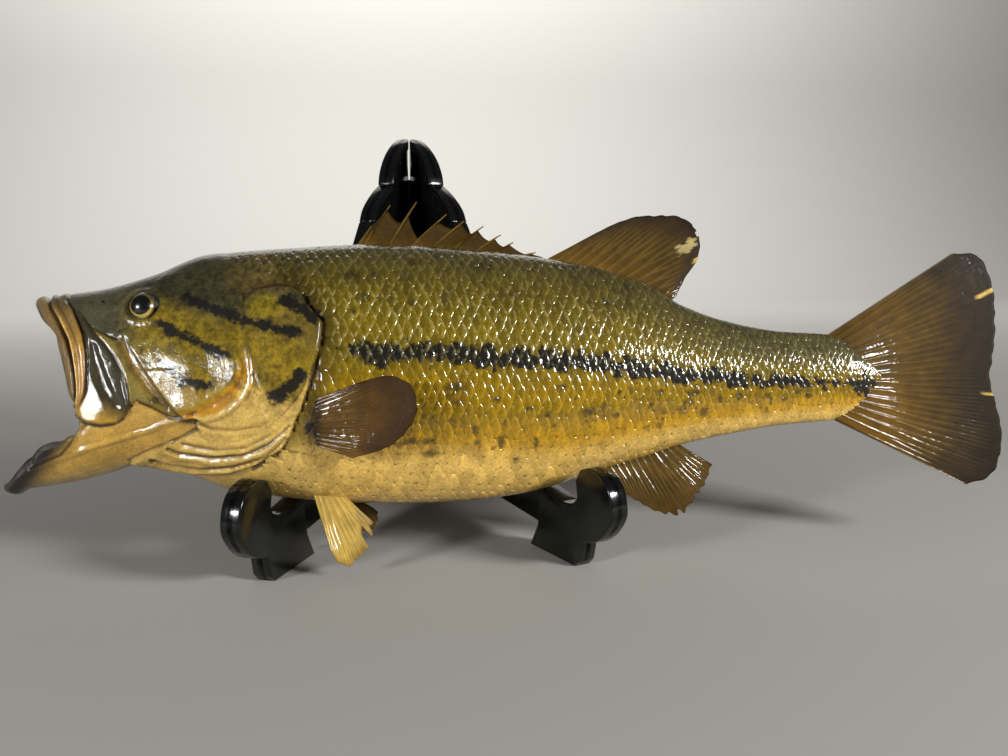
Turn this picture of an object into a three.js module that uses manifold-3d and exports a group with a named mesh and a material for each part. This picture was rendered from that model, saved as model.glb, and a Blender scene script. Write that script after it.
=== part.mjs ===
// A mounted largemouth bass, 556 mm long, held open-mouthed on a folding plate easel.
// Millimetres, +Z up. The fish faces -X and turns its left side to -Y.
//
// The fish is described in its own frame: x along it (snout at -x), w across it
// (left side at -w) and h up through its back. pose() then bends it a little,
// leans it back against the easel and lifts it to its resting height.

import * as THREE from 'three';
import { mergeVertices } from 'three/addons/utils/BufferGeometryUtils.js';
import Module from 'manifold-3d';

const wasm = await Module();
wasm.setup();

// ---------------------------------------------------------------- driving dimensions

const GAP = 0.4;                       // clearance left between neighbouring pieces
const LEAN = THREE.MathUtils.degToRad(14);  // how far the fish leans back
const CENTRE_HEIGHT = 100;             // height of the fish's long axis over the floor
const HEAD_BEND = 6;                   // sideways curve towards the left at the head
const TAIL_BEND = 20;                  // and at the tail
const BEND_LENGTH = 280;               // distance from mid-body where that is reached

const SNOUT_X = -248;                  // front of the upper lip
const CHIN_X = -262.5;                 // tip of the lower jaw
const JAW_JOINT_X = -160;
const NECK_X = -132;                   // where skull meets trunk
const STEM_X = 100;                    // where trunk meets tail stem
const FLESH_END_X = 221;               // rear edge of the scaled tail base

const EYE = { x: -188, h: 37, radius: 8.4, stands: 1.8 };
const COVER_THICK = 2.4;               // how far a gill cover stands off the body
const COVER_SINK = 1.6;                // how far it is let into the body, and its bed's depth
const COVER_BED = 2.3;
const MAXILLA_THICK = 2.6;
const LIP_SWELL = 0.6;
const MEMBRANE_THICK = 1.2;
const MEMBRANE_SINK = 1.8;
const MEMBRANE_BED = 2.2;
const JAW_WAIST_SHARE = 0.45;          // height of the jaw's widest line, from its top down
const BEYOND = 800;                    // a size that reaches past the whole model
const EASEL_CLEARANCE = 1.8;           // between the resting fish and the easel's rims

// Each loft along the body: where it starts, where it ends and its steps.
const LOFTS = {
  skull: [-237, NECK_X, 9], lip: [SNOUT_X, -212, 6],
  maxilla: [-224, -186, 5], maxillaInside: [-226, -184, 5],
  jaw: [CHIN_X, JAW_JOINT_X - GAP, 9], mouth: [-256, -150, 6],
  cover: [-166, -92, 6], coverInside: [-168, -90, 6], coverBed: [-170, -88, 6],
  membrane: [-199, -100, 10], membraneInside: [-170, -96, 8], membraneBed: [-176, -88, 8],
  trunk: [-168, STEM_X, 16], stem: [STEM_X + GAP, FLESH_END_X, 10], resting: [-140, 80, 5],
};

// Outlines of the body: [x, value] pairs, joined by smooth curves.
const BACK_LINE = [[-248, 46], [-238, 47.5], [-215, 50.5], [-188, 58.5], [-160, 69.8], [-118, 74],
  [-65, 76.5], [-10, 72.8], [45, 65.5], [82, 54.5], [105, 40.5], [130, 31], [160, 24.5], [196, 21],
  [208, 13.5], [216, 6.5], [221, -3]];
const BELLY_LINE = [[-248, 38], [-240, 0], [-228, -30], [-200, -41.5], [-184, -44.5], [-166, -50.5],
  [-150, -57.5], [-130, -62], [-85, -67.5], [-40, -69], [0, -66.8], [24, -62.5], [47, -55.5],
  [77, -48], [99, -41.8], [130, -36], [160, -32], [196, -29.5], [208, -25], [216, -17], [221, -8]];
const HALF_WIDTH = [[-248, 4], [-243, 12], [-236, 18], [-228, 24.5], [-218, 29.5], [-205, 32],
  [-190, 34], [-165, 39], [-140, 42], [-100, 43.5], [-50, 42.5], [0, 38], [50, 31], [100, 22],
  [150, 14.5], [185, 10], [205, 7], [221, 3]];
const WAIST_LINE = [[-248, 41], [-240, 30], [-228, 18], [-210, 8], [-190, 4], [-137, 3], [-82, 5],
  [0, 3], [60, 1], [130, -3], [221, -5]];
const CHEEK_FLOOR = [[-248, 36], [-238, -10], [-228, -45], [-132, -64]];   // floor of the skull's own section
const SECTION_POWER = 2.25;            // 2 is an ellipse, more is squarer

const JAW_TOP = [[-262.5, -47], [-258, -43.5], [-249, -39], [-238, -33], [-227, -28], [-218, -20],
  [-200, -14], [-158, -10]];
const JAW_BOTTOM = [[-262.5, -50], [-260, -55], [-256, -56], [-250, -53.3], [-240, -52], [-226, -50],
  [-210, -46], [-199, -43], [-158, -40]];
const JAW_HALF_WIDTH = [[-262.5, 3.5], [-258, 7.5], [-250, 10.5], [-240, 15], [-228, 22], [-215, 29.5],
  [-200, 34], [-180, 38], [-158, 40.5]];

const MOUTH_TOP = [[-256, 30], [-248, 37.5], [-238, 39.5], [-215, 40], [-200, 34], [-180, 22], [-150, -2]];
const MOUTH_FLOOR = [[-256, -44], [-248, -46], [-225, -43.5], [-200, -37], [-186, -33], [-173, -28.5],
  [-150, -20]];
const MOUTH_HALF_WIDTH = [[-256, 3], [-248, 5.5], [-236, 12], [-225, 19], [-215, 24], [-200, 27],
  [-180, 27], [-165, 21], [-150, 9]];

// Side outlines of the head's plates: [x, h] corners.
const LIP_SIDE = [[-232.4, 60], [-252, 60], [-247.5, 45], [-242, 35], [-236, 28], [-231, 21], [-228, 14],
  [-225, 3], [-222, -7], [-218, -20], [-216, -12], [-214.2, -6], [-214.2, 13], [-216.3, 22],
  [-220.5, 30], [-225.5, 37.5], [-232.4, 44]];
const MAXILLA_SIDE = [[-217, 30], [-212, 25.8], [-206, 23.2], [-199, 12], [-195, -4], [-191.7, -15],
  [-197, -23.2], [-206, -24.4], [-212, -22.4], [-217.2, -19.6], [-215.4, -12], [-213.6, -6],
  [-213.6, 13], [-215.6, 22.5]];
const SKULL_SIDE = [[NECK_X, 90], [-236, 90], [-236, 40], [-212, -16], [-192, -16], [-182, -16.6],
  [-163, -19.6], [-157, -23], [-151, -23], [-143, -19.8], [-136, -14], [NECK_X, -6]];
const JAW_SIDE = [[-270, 0], [-240, -10], [-218, -20], [-212, -22.8], [-206, -24.8], [-197, -23.6],
  [-191.6, -17], [-182, -17], [-163, -20], [-160.4, -21.5], [-160.4, -27], [-173, -31.4],
  [-186, -36.4], [-199, -40], [-199, -70], [-270, -70]];
const COVER_SIDE = [[NECK_X, 42.5], [-122, 45.5], [-113, 45], [-108, 41], [-103, 33], [-98.2, 26],
  [-98.6, 18], [-100.5, 9], [-104, -2], [-109, -11], [-117, -20], [-126, -27], [-137, -32],
  [-148, -34], [-156, -32], [-160, -27], [-160, -21.5], [-157, -23.4], [-151, -23.4],
  [-143, -20.2], [-136, -14.4], [NECK_X, -6.4]];
const MEMBRANE_SIDE = [[-199, -40.4], [-186, -36.8], [-173, -31.8], [-160.4, -27.4], [-150, -24],
  [-138, -14], [-130, -4], [-116, 1], [-104, 1], [-106.5, -9], [-110, -19], [-115, -31], [-120, -38],
  [-133, -45.3], [-147, -49], [-166, -53], [-199, -60]];
const MEMBRANE_REGION = [[NECK_X - 40, 60], [-90, 60], [-90, -80], [NECK_X - 40, -80]];
const MEMBRANE_CORE = [[NECK_X - 0.2, 80], [NECK_X - 0.2, -46], [-147, -49], [-166, -53], [-170, -80],
  [-90, -80], [-90, 80]];
const FLESH_END_SIDE = [[FLESH_END_X - 0.1, -2.6], [FLESH_END_X + GAP, -2.6], [FLESH_END_X + GAP, -8.4],
  [FLESH_END_X - 0.1, -8.4]];
const FLESH_END_HALF_WIDTH = 4;
const TRUNK_SIDE = [[STEM_X, 90], [NECK_X, 90], [NECK_X, -46], [-147, -49.4], [-166, -53.4],
  [-171, -80], [STEM_X, -80]];

// Spines of the first back fin: [root x, tip x, tip h], and the web's dip behind each.
const SPINES = [[-79, -62, 100], [-65, -47, 102], [-53, -30, 95], [-42, -20, 91], [-30, -9, 88],
  [-18, 1, 83], [-7, 8, 78.5], [5, 21, 72.5]];
const WEB_DIPS = [[-82, 79], [-58, 93], [-48, 86], [-29, 88], [-18, 85], [-7, 81], [3, 78], [11, 74.5]];
const WEB_END = { rootX: 12, x: 24, h: 70.5 };
const SPINE_FOOT = 5;                  // length of a spine's foot along the back
const ROOT_DROP = 3;                   // depth of the spiny fin's root under the back

// The soft fins: smooth lines [x, w, h] along the root and along the tips of the rays.
const FINS = {
  soft_dorsal_fin: {
    root: [[27, 0, 66], [50, 0, 62], [76, 0, 54], [97, 0, 41]],
    tip: [[57, 0, 84], [72, 0, 91], [86, 0, 94.5], [102, 0, 94.5], [114, 0, 89.5], [119, 0, 78],
      [117, 0, 68], [110, 0, 58], [103, 0, 46]],
    rays: 10, rows: 2, rootThick: 3, tipThick: 0.9,
  },
  anal_fin: {
    root: [[54, 0, -50], [70, 0, -46], [84, 0, -42.5], [98, 0, -39]],
    tip: [[62, 0, -64.5], [74, 0, -72], [86, 0, -79], [98, 0, -81.5], [105, 0, -75], [112, 0, -67],
      [116, 0, -60], [119, 0, -53]],
    rays: 8, rows: 2, rootThick: 3, tipThick: 0.9,
  },
  tail_fin: {
    root: [[190, 0, 20], [196, 0, 8], [198, 0, -5], [197, 0, -18], [191, 0, -28.5]],
    tip: [[269, 0, 67.3], [281, 0, 67.3], [289.5, 0, 58], [292.8, 0, 40], [291, 0, 21], [287, 0, 3],
      [284.3, 0, -9], [287, 0, -25], [289, 0, -41], [286, 0, -57], [279, 0, -66], [266, 0, -69.4]],
    rays: 14, rows: 3, rootThick: 9, tipThick: 1,
  },
  pectoral_fin_left: {
    root: [[-101, -41, -13], [-102, -41.5, -25], [-101, -40, -37]],
    tip: [[-82, -50, -6.5], [-66, -56, -3.5], [-54, -59.5, -9.5], [-51.5, -60, -20], [-57, -58, -31.5],
      [-68, -54.5, -39.5], [-84, -48, -43.5]],
    rays: 10, rows: 2, rootThick: 3.2, tipThick: 0.9, facing: [0.3, 1, 0],
  },
  pectoral_fin_right: {
    root: [[-100, 41, -20], [-103, 40, -28], [-103, 38, -36]],
    tip: [[-72, 44.5, -25], [-62, 43, -33], [-58, 41, -42], [-64, 37.5, -50], [-74, 34, -55],
      [-86, 32.5, -56]],
    rays: 8, rows: 2, rootThick: 2.6, tipThick: 0.9, facing: [0, 1, -0.5],
  },
  pelvic_fin_left: {
    root: [[-106, -14, -60], [-97, -14, -62], [-89, -14, -63]],
    tip: [[-97, -18, -92], [-91, -18, -98.5], [-83, -18, -98], [-76, -18, -90], [-76, -17, -79]],
    rays: 6, rows: 2, rootThick: 3.2, tipThick: 1,
  },
  pelvic_fin_right: {
    root: [[-106, 13, -60], [-97, 13, -62], [-88, 13, -63]],
    tip: [[-86, 15, -81], [-78, 16, -84], [-73, 16, -80], [-72, 15, -74], [-76, 14, -70]],
    rays: 6, rows: 2, rootThick: 3, tipThick: 1,
  },
};

// The easel: two plates that meet in a V at an upright hinge pin.
const EASEL = {
  hingeX: -46, hingeY: 166, halfAngle: THREE.MathUtils.degToRad(23),
  webThick: 4, rimThick: 10, rimDepth: 5,
  pinRadius: 3.8, pinFoot: 12, pinTop: 218, knobRadius: 4.6, knuckleRadius: 7.5,
};

// One plate seen from its side: [distance from the hinge line, height].
const PLATE_OUTER = [[172, 0], [217, 0], [221, 4], [223.5, 15], [233, 17.5], [243, 25],
  [249.5, 37], [247, 48], [239, 55.5], [229, 57.5], [221, 55]];
const PLATE_INNER = [[217, 48], [218.5, 40], [214, 35], [205, 33.6], [184, 38], [160, 43],
  [145, 51], [141, 60], [139, 76], [130, 98], [104, 155], [90, 173], [77, 190], [73, 197],
  [65, 204], [55.5, 210], [44.5, 215.5], [43.3, 221], [39, 229], [31, 237.5], [18, 246], [8, 250]];
const PLATE_BACK = [[1, 249], [1, 226], [EASEL.pinRadius + GAP, 224], [EASEL.pinRadius + GAP, 0], [20, 0],
  [28, 16], [100, 21], [180, 14]];
const PLATE_WINDOW = [[25, 60], [36, 42], [52, 38], [112, 38], [128, 44], [126, 58], [88, 144],
  [72, 160], [52, 166], [30, 160]];
const KNUCKLES = { left: [[26, 52], [150, 178]], right: [[53, 79], [179, 207]] };

// ---------------------------------------------------------------- materials

function material(color, roughness, metalness = 0) {
  return new THREE.MeshStandardMaterial({ color, roughness, metalness });
}

const FINISH = {
  skin: material(0x8a7530, 0.35),
  back: material(0x5c5130, 0.35),
  jaw: material(0xb08d4c, 0.3),
  lip: material(0x9a7438, 0.45),
  membrane: material(0xc9a559, 0.35),
  fin: material(0x5e3f1b, 0.3),
  paleFin: material(0xc9ac6e, 0.5),
  eye: material(0x1b1a12, 0.05),
  plastic: material(0x0b0c0c, 0.2),
};

// ---------------------------------------------------------------- curves

// A smooth function of x through [x, y] pairs that never overshoots them.
function smoothLine(pairs) {
  const slope = pairs.slice(1).map(([x, y], i) => (y - pairs[i][1]) / (x - pairs[i][0]));
  const tangent = pairs.map((_, i) => {
    const before = slope[Math.max(i - 1, 0)];
    const after = slope[Math.min(i, slope.length - 1)];
    return before * after > 0 ? (2 * before * after) / (before + after) : 0;
  });
  return (x) => {
    const last = pairs.length - 2;
    const found = pairs.findIndex((pair) => pair[0] > x) - 1;
    const i = x >= pairs[last + 1][0] ? last : Math.max(found, 0);
    const span = pairs[i + 1][0] - pairs[i][0];
    const t = THREE.MathUtils.clamp((x - pairs[i][0]) / span, 0, 1);
    const t2 = t * t;
    const t3 = t2 * t;
    return pairs[i][1] * (2 * t3 - 3 * t2 + 1) + pairs[i + 1][1] * (3 * t2 - 2 * t3)
      + span * (tangent[i] * (t3 - 2 * t2 + t) + tangent[i + 1] * (t3 - t2));
  };
}

const back = smoothLine(BACK_LINE);
const belly = smoothLine(BELLY_LINE);
const halfWidth = smoothLine(HALF_WIDTH);
const waist = smoothLine(WAIST_LINE);
const cheekFloor = smoothLine(CHEEK_FLOOR);
const jawTop = smoothLine(JAW_TOP);
const jawBottom = smoothLine(JAW_BOTTOM);
const jawHalfWidth = smoothLine(JAW_HALF_WIDTH);
const mouthTop = smoothLine(MOUTH_TOP);
const mouthFloor = smoothLine(MOUTH_FLOOR);
const mouthHalfWidth = smoothLine(MOUTH_HALF_WIDTH);

const rounded = (value) => Math.sign(value) * Math.abs(value) ** (2 / SECTION_POWER);

// Half width of the body's surface at one height of the section at x.
function sideReach(x, h, floor = belly) {
  const reach = h > waist(x) ? back(x) - waist(x) : waist(x) - floor(x);
  const level = Math.min(Math.abs(h - waist(x)) / reach, 1);
  return halfWidth(x) * (1 - level ** SECTION_POWER) ** (1 / SECTION_POWER);
}

// ---------------------------------------------------------------- solids

// A closed mesh becomes a solid once its corners are shared.
function solidOf(geometry, move = (point) => point) {
  geometry.deleteAttribute('normal');
  geometry.deleteAttribute('uv');
  const merged = mergeVertices(geometry, 1e-5);
  const place = merged.getAttribute('position');
  const vertices = new Float32Array(place.count * 3);
  for (let i = 0; i < place.count; i += 1) {
    const point = move(new THREE.Vector3().fromBufferAttribute(place, i));
    vertices.set([point.x, point.y, point.z], 3 * i);
  }
  const triVerts = new Uint32Array(merged.index.array);
  return new wasm.Manifold(new wasm.Mesh({ numProp: 3, vertProperties: vertices, triVerts }));
}

// A tube along a span of x whose section is top, bottom, middle and half width at each x.
function loft({ span: [from, to, steps], around = 18, top, bottom, middle, width, grow = 0 }) {
  const tube = new THREE.CylinderGeometry(1, 1, 1, around, steps);
  return solidOf(tube, (point) => {
    const x = THREE.MathUtils.lerp(from, to, point.y + 0.5);
    const centre = middle(x);
    const rise = point.x > 0 ? top(x) + grow - centre : centre - bottom(x) + grow;
    return new THREE.Vector3(x, (width(x) + grow) * rounded(point.z), centre + rise * rounded(point.x));
  });
}

function bodyLoft(span, grow = 0, floor = belly) {
  return loft({ span, top: back, bottom: floor, middle: waist, width: halfWidth, grow });
}

function outlineShape(corners) {
  return new THREE.Shape(corners.map(([x, y]) => new THREE.Vector2(x, y)));
}

// A side outline in x and h, cut straight across the fish between two values of w.
function prism(corners, lowW = -120, highW = 120) {
  const depth = highW - lowW;
  const plate = new THREE.ExtrudeGeometry(outlineShape(corners), { depth, bevelEnabled: false });
  return solidOf(plate, (point) => new THREE.Vector3(point.x, highW - point.z, point.y));
}

// Moves each corner of a closed outline outwards along the bisector of its sides.
function widened(corners, distance) {
  const count = corners.length;
  const area = corners.reduce((sum, [x, y], i) => {
    const [nextX, nextY] = corners[(i + 1) % count];
    return sum + x * nextY - nextX * y;
  }, 0);
  const turn = Math.sign(area);
  return corners.map(([x, y], i) => {
    const [beforeX, beforeY] = corners[(i + count - 1) % count];
    const [afterX, afterY] = corners[(i + 1) % count];
    const before = new THREE.Vector2(x - beforeX, y - beforeY).normalize();
    const after = new THREE.Vector2(afterX - x, afterY - y).normalize();
    const outward = new THREE.Vector2(before.y + after.y, -before.x - after.x).normalize();
    const stretch = Math.max(outward.x * before.y - outward.y * before.x, 0.4);
    return [x + (turn * distance * outward.x) / stretch, y + (turn * distance * outward.y) / stretch];
  });
}

function ball(x, w, h, radius, around = 12) {
  const sphere = new THREE.SphereGeometry(radius, around, Math.ceil(around / 2));
  return solidOf(sphere, (point) => new THREE.Vector3(point.x + x, point.y + w, point.z + h));
}

const LEFT = -1;
const RIGHT = 1;

function half(side) {
  const box = new THREE.BoxGeometry(BEYOND, BEYOND, BEYOND);
  const shift = side * (BEYOND + GAP) / 2;
  return solidOf(box, (point) => new THREE.Vector3(point.x, point.y + shift, point.z));
}

// A fin is a thin fan: u runs along its root and v out along its rays.
// Every second column is a ray, which is a little thicker than the web beside it.
function fan({ root, tip, rays, rows, rootThick, tipThick, ridge = 0.4, facing = [0, 1, 0] }) {
  const columns = 2 * rays;
  const grid = new THREE.BoxGeometry(1, 1, 1, columns, rows, 1);
  const across = new THREE.Vector3(...facing).normalize();
  const alongRoot = root(1).sub(root(0));
  const alongRay = tip(0.5).sub(root(0.5));
  const sense = Math.sign(alongRoot.cross(alongRay).dot(across));   // keeps the faces pointing out
  return solidOf(grid, (point) => {
    const u = point.x + 0.5;
    const v = point.y + 0.5;
    const isRay = Math.round(u * columns) % 2 === 1;
    const thick = THREE.MathUtils.lerp(rootThick, tipThick, Math.sqrt(v)) + (isRay ? ridge : 0);
    const place = root(u).lerp(tip(u), v);
    return place.addScaledVector(across, sense * point.z * thick);
  });
}

function smoothPath(corners) {
  const curve = new THREE.CatmullRomCurve3(corners.map((corner) => new THREE.Vector3(...corner)));
  return (u) => curve.getPoint(THREE.MathUtils.clamp(u, 0, 1));
}

function straightPath(corners) {
  const last = corners.length - 1;
  return (u) => {
    const i = Math.min(Math.floor(u * last + 1e-6), last - 1);
    return new THREE.Vector3(...corners[i]).lerp(new THREE.Vector3(...corners[i + 1]), u * last - i);
  };
}

// ---------------------------------------------------------------- the fish, in its own frame

const fish = {};

const mouth = loft({ span: LOFTS.mouth, around: 12, top: mouthTop, bottom: mouthFloor,
  middle: (x) => (mouthTop(x) + mouthFloor(x)) / 2, width: mouthHalfWidth });

function addHead() {
  const eyeReach = sideReach(EYE.x, EYE.h, cheekFloor) - EYE.radius + EYE.stands;
  let skull = bodyLoft(LOFTS.skull, 0, cheekFloor).intersect(prism(SKULL_SIDE))
    .subtract(prism(widened(LIP_SIDE, GAP))).subtract(mouth);
  const lipBody = bodyLoft(LOFTS.lip, LIP_SWELL, cheekFloor);
  fish.upper_lip = [lipBody.intersect(prism(LIP_SIDE)).subtract(mouth), FINISH.lip];
  for (const [name, side] of [['left', LEFT], ['right', RIGHT]]) {
    const outer = bodyLoft(LOFTS.maxilla, MAXILLA_THICK, cheekFloor);
    const inner = bodyLoft(LOFTS.maxillaInside, GAP, cheekFloor);
    const plate = outer.subtract(inner).intersect(prism(MAXILLA_SIDE)).intersect(half(side));
    fish[`maxilla_${name}`] = [plate, FINISH.jaw];
    fish[`eye_${name}`] = [ball(EYE.x, side * eyeReach, EYE.h, EYE.radius), FINISH.eye];
    skull = skull.subtract(ball(EYE.x, side * eyeReach, EYE.h, EYE.radius + GAP));
  }
  fish.head = [skull, FINISH.skin];
}

function addLowerJaw() {
  const jaw = loft({ span: LOFTS.jaw, around: 16, top: jawTop, bottom: jawBottom,
    middle: (x) => THREE.MathUtils.lerp(jawTop(x), jawBottom(x), JAW_WAIST_SHARE), width: jawHalfWidth });
  fish.lower_jaw = [jaw.intersect(prism(JAW_SIDE)).subtract(mouth), FINISH.jaw];
}

function addGillCovers() {
  const shell = bodyLoft(LOFTS.cover, COVER_THICK).subtract(bodyLoft(LOFTS.coverInside, -COVER_SINK))
    .intersect(prism(widened(COVER_SIDE, -GAP / 2)));
  fish.gill_cover_left = [shell.intersect(half(LEFT)), FINISH.skin];
  fish.gill_cover_right = [shell.intersect(half(RIGHT)), FINISH.skin];
}

// The space that the covers and membranes take out of the flesh beneath them.
const coverBed = prism(widened(COVER_SIDE, GAP)).subtract(bodyLoft(LOFTS.coverBed, -COVER_BED));
const membraneBed = prism(widened(MEMBRANE_SIDE, GAP)).intersect(prism(MEMBRANE_REGION))
  .subtract(bodyLoft(LOFTS.membraneBed, -MEMBRANE_BED));

function addTrunk() {
  const trunk = bodyLoft(LOFTS.trunk).intersect(prism(widened(TRUNK_SIDE, -GAP / 2)));
  fish.trunk = [trunk.subtract(coverBed).subtract(membraneBed), FINISH.back];
  fish.tail_stem = [bodyLoft(LOFTS.stem), FINISH.back];
}

function addGillMembranes() {
  const under = bodyLoft(LOFTS.membrane, MEMBRANE_THICK).intersect(prism(widened(MEMBRANE_SIDE, -GAP / 2)));
  const core = bodyLoft(LOFTS.membraneInside, -MEMBRANE_SINK).intersect(prism(MEMBRANE_CORE));
  const sheet = under.subtract(core).subtract(coverBed).subtract(mouth)
    .subtract(prism(widened(SKULL_SIDE, GAP)));
  fish.gill_membrane_left = [sheet.intersect(half(LEFT)), FINISH.membrane];
  fish.gill_membrane_right = [sheet.intersect(half(RIGHT)), FINISH.membrane];
}

// The spiny fin's web runs from one spine's foot and tip to the next one's, dipping before each.
function spinyFin() {
  const onBack = (x) => [x, 0, back(x) - ROOT_DROP];
  const feet = [];
  const tips = [];
  SPINES.forEach(([rootX, tipX, tipH], i) => {
    feet.push(onBack(rootX - SPINE_FOOT), onBack(rootX));
    tips.push([WEB_DIPS[i][0], 0, WEB_DIPS[i][1]], [tipX, 0, tipH]);
  });
  feet.push(onBack(WEB_END.rootX));
  tips.push([WEB_END.x, 0, WEB_END.h]);
  return fan({ root: straightPath(feet), tip: straightPath(tips), rays: SPINES.length,
    rows: 2, rootThick: 2, tipThick: 0.8, ridge: 0.8 });
}

function addFins() {
  const flesh = bodyLoft(LOFTS.trunk, GAP).add(bodyLoft(LOFTS.stem, GAP))
    .add(prism(FLESH_END_SIDE, -FLESH_END_HALF_WIDTH, FLESH_END_HALF_WIDTH));
  fish.spiny_dorsal_fin = [spinyFin().subtract(flesh), FINISH.fin];
  for (const [name, { root, tip, ...form }] of Object.entries(FINS)) {
    const fin = fan({ root: smoothPath(root), tip: smoothPath(tip), ...form });
    fish[name] = [fin.subtract(flesh), name === 'pelvic_fin_left' ? FINISH.paleFin : FINISH.fin];
  }
}

// Fish frame to resting place: a gentle bend, the lean and the lift.
function pose(point) {
  const reach = point.x < 0 ? HEAD_BEND : TAIL_BEND;
  const w = point.y - reach * (point.x / BEND_LENGTH) ** 2;
  return new THREE.Vector3(point.x, w * Math.cos(LEAN) + point.z * Math.sin(LEAN),
    CENTRE_HEIGHT - w * Math.sin(LEAN) + point.z * Math.cos(LEAN));
}

function posed(solid) {
  return solid.warp((vertex) => {
    const place = pose(new THREE.Vector3(...vertex));
    vertex.splice(0, 3, place.x, place.y, place.z);
  });
}

// ---------------------------------------------------------------- the easel

// Turns a plate outline (distance from the hinge line, height, offset across) into the room.
function platePlace(side, distance, height, across) {
  const sin = Math.sin(EASEL.halfAngle);
  const cos = Math.cos(EASEL.halfAngle);
  return new THREE.Vector3(EASEL.hingeX + side * (distance * sin + across * cos),
    EASEL.hingeY - distance * cos + across * sin, height);
}

function plateSlab(corners, side, thick) {
  const slab = new THREE.ExtrudeGeometry(outlineShape(corners), { depth: thick, bevelEnabled: false });
  return solidOf(slab, (point) => platePlace(side, point.x, point.y, side * (thick / 2 - point.z)));
}

function upright(radius, low, high, around = 10) {
  const post = new THREE.CylinderGeometry(radius, radius, high - low, around);
  return solidOf(post, (point) => new THREE.Vector3(point.z + EASEL.hingeX, point.x + EASEL.hingeY,
    point.y + (low + high) / 2));
}

// The rim is the plate's front edge: the plate's outline less the same outline set back.
function rimCorners() {
  const inner = PLATE_INNER.slice(3);
  const setBack = widened([...inner, [4, 20], [190, 20]], -EASEL.rimDepth).slice(0, inner.length);
  return [...inner, ...setBack.reverse()];
}

function easelHalf(side, own, others, clearOf) {
  let plate = plateSlab([...PLATE_OUTER, ...PLATE_INNER, ...PLATE_BACK], side, EASEL.webThick);
  plate = plate.subtract(plateSlab(PLATE_WINDOW, side, EASEL.webThick * 3));
  const foot = [...PLATE_OUTER, ...PLATE_INNER.slice(0, 5), [180, 14]];
  plate = plate.add(plateSlab(foot, side, EASEL.rimThick)).add(plateSlab(rimCorners(), side, EASEL.rimThick));
  for (const [low, high] of others) {
    plate = plate.subtract(upright(EASEL.knuckleRadius + GAP, low - GAP, high + GAP));
  }
  for (const [low, high] of own) {
    plate = plate.add(upright(EASEL.knuckleRadius, low, high));
  }
  plate = plate.subtract(upright(EASEL.pinRadius + GAP, -GAP, EASEL.pinTop + 2 * GAP))
    .subtract(ball(EASEL.hingeX, EASEL.hingeY, EASEL.pinTop, EASEL.knobRadius + GAP, 8));
  const box = new THREE.BoxGeometry(BEYOND, BEYOND, BEYOND);
  const shift = EASEL.hingeX + side * (BEYOND / 2 + GAP);
  const ownSide = solidOf(box, (point) => new THREE.Vector3(point.x + shift, point.y, point.z));
  const rings = own.map(([low, high]) => upright(EASEL.knuckleRadius + 1, low - GAP / 4, high + GAP / 4));
  const keep = rings.reduce((sum, ring) => sum.add(ring), ownSide);
  return plate.intersect(keep).subtract(clearOf);
}

// ---------------------------------------------------------------- assembly

addHead();
addLowerJaw();
addGillCovers();
addTrunk();
addGillMembranes();
addFins();

const restingFish = posed(bodyLoft(LOFTS.resting, EASEL_CLEARANCE));

const pieces = {};
for (const [name, [solid, finish]] of Object.entries(fish)) {
  pieces[name] = [posed(solid), finish];
}
pieces.easel_left_half = [easelHalf(LEFT, KNUCKLES.left, KNUCKLES.right, restingFish), FINISH.plastic];
pieces.easel_right_half = [easelHalf(RIGHT, KNUCKLES.right, KNUCKLES.left, restingFish), FINISH.plastic];
pieces.easel_pin = [upright(EASEL.pinRadius, EASEL.pinFoot, EASEL.pinTop).add(
  ball(EASEL.hingeX, EASEL.hingeY, EASEL.pinTop, EASEL.knobRadius, 10)), FINISH.plastic];

function meshOf(name, solid, finish) {
  const { vertProperties, triVerts, numProp } = solid.getMesh();
  const corners = [];
  for (let i = 0; i < vertProperties.length; i += numProp) {
    corners.push(vertProperties[i], vertProperties[i + 1], vertProperties[i + 2]);
  }
  const geometry = new THREE.BufferGeometry();
  geometry.setAttribute('position', new THREE.Float32BufferAttribute(corners, 3));
  geometry.setIndex(Array.from(triVerts));
  geometry.computeVertexNormals();
  const mesh = new THREE.Mesh(geometry, finish);
  mesh.name = name;
  return mesh;
}

const model = new THREE.Group();
for (const [name, [solid, finish]] of Object.entries(pieces)) {
  model.add(meshOf(name, solid, finish));
}

// The origin is on the floor, under the middle of the whole model's box.
const extent = new THREE.Box3().setFromObject(model);
const middle = extent.getCenter(new THREE.Vector3());
model.position.set(-middle.x, -middle.y, -extent.min.z);
model.updateMatrixWorld(true);

export default model;
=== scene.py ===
# %% [markdown]
# # A mounted largemouth bass on its plate easel
#
# A skin mount: a real bass's skin over a foam form, painted and varnished, propped open-mouthed on
# a black plastic easel of the folding kind made to show plates. This notebook dresses the packed
# solids. Every piece is described in the fish's own frame, in millimetres: x runs along the fish
# (snout at -x), w across it (its left side at -w) and h up through its back.

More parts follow.
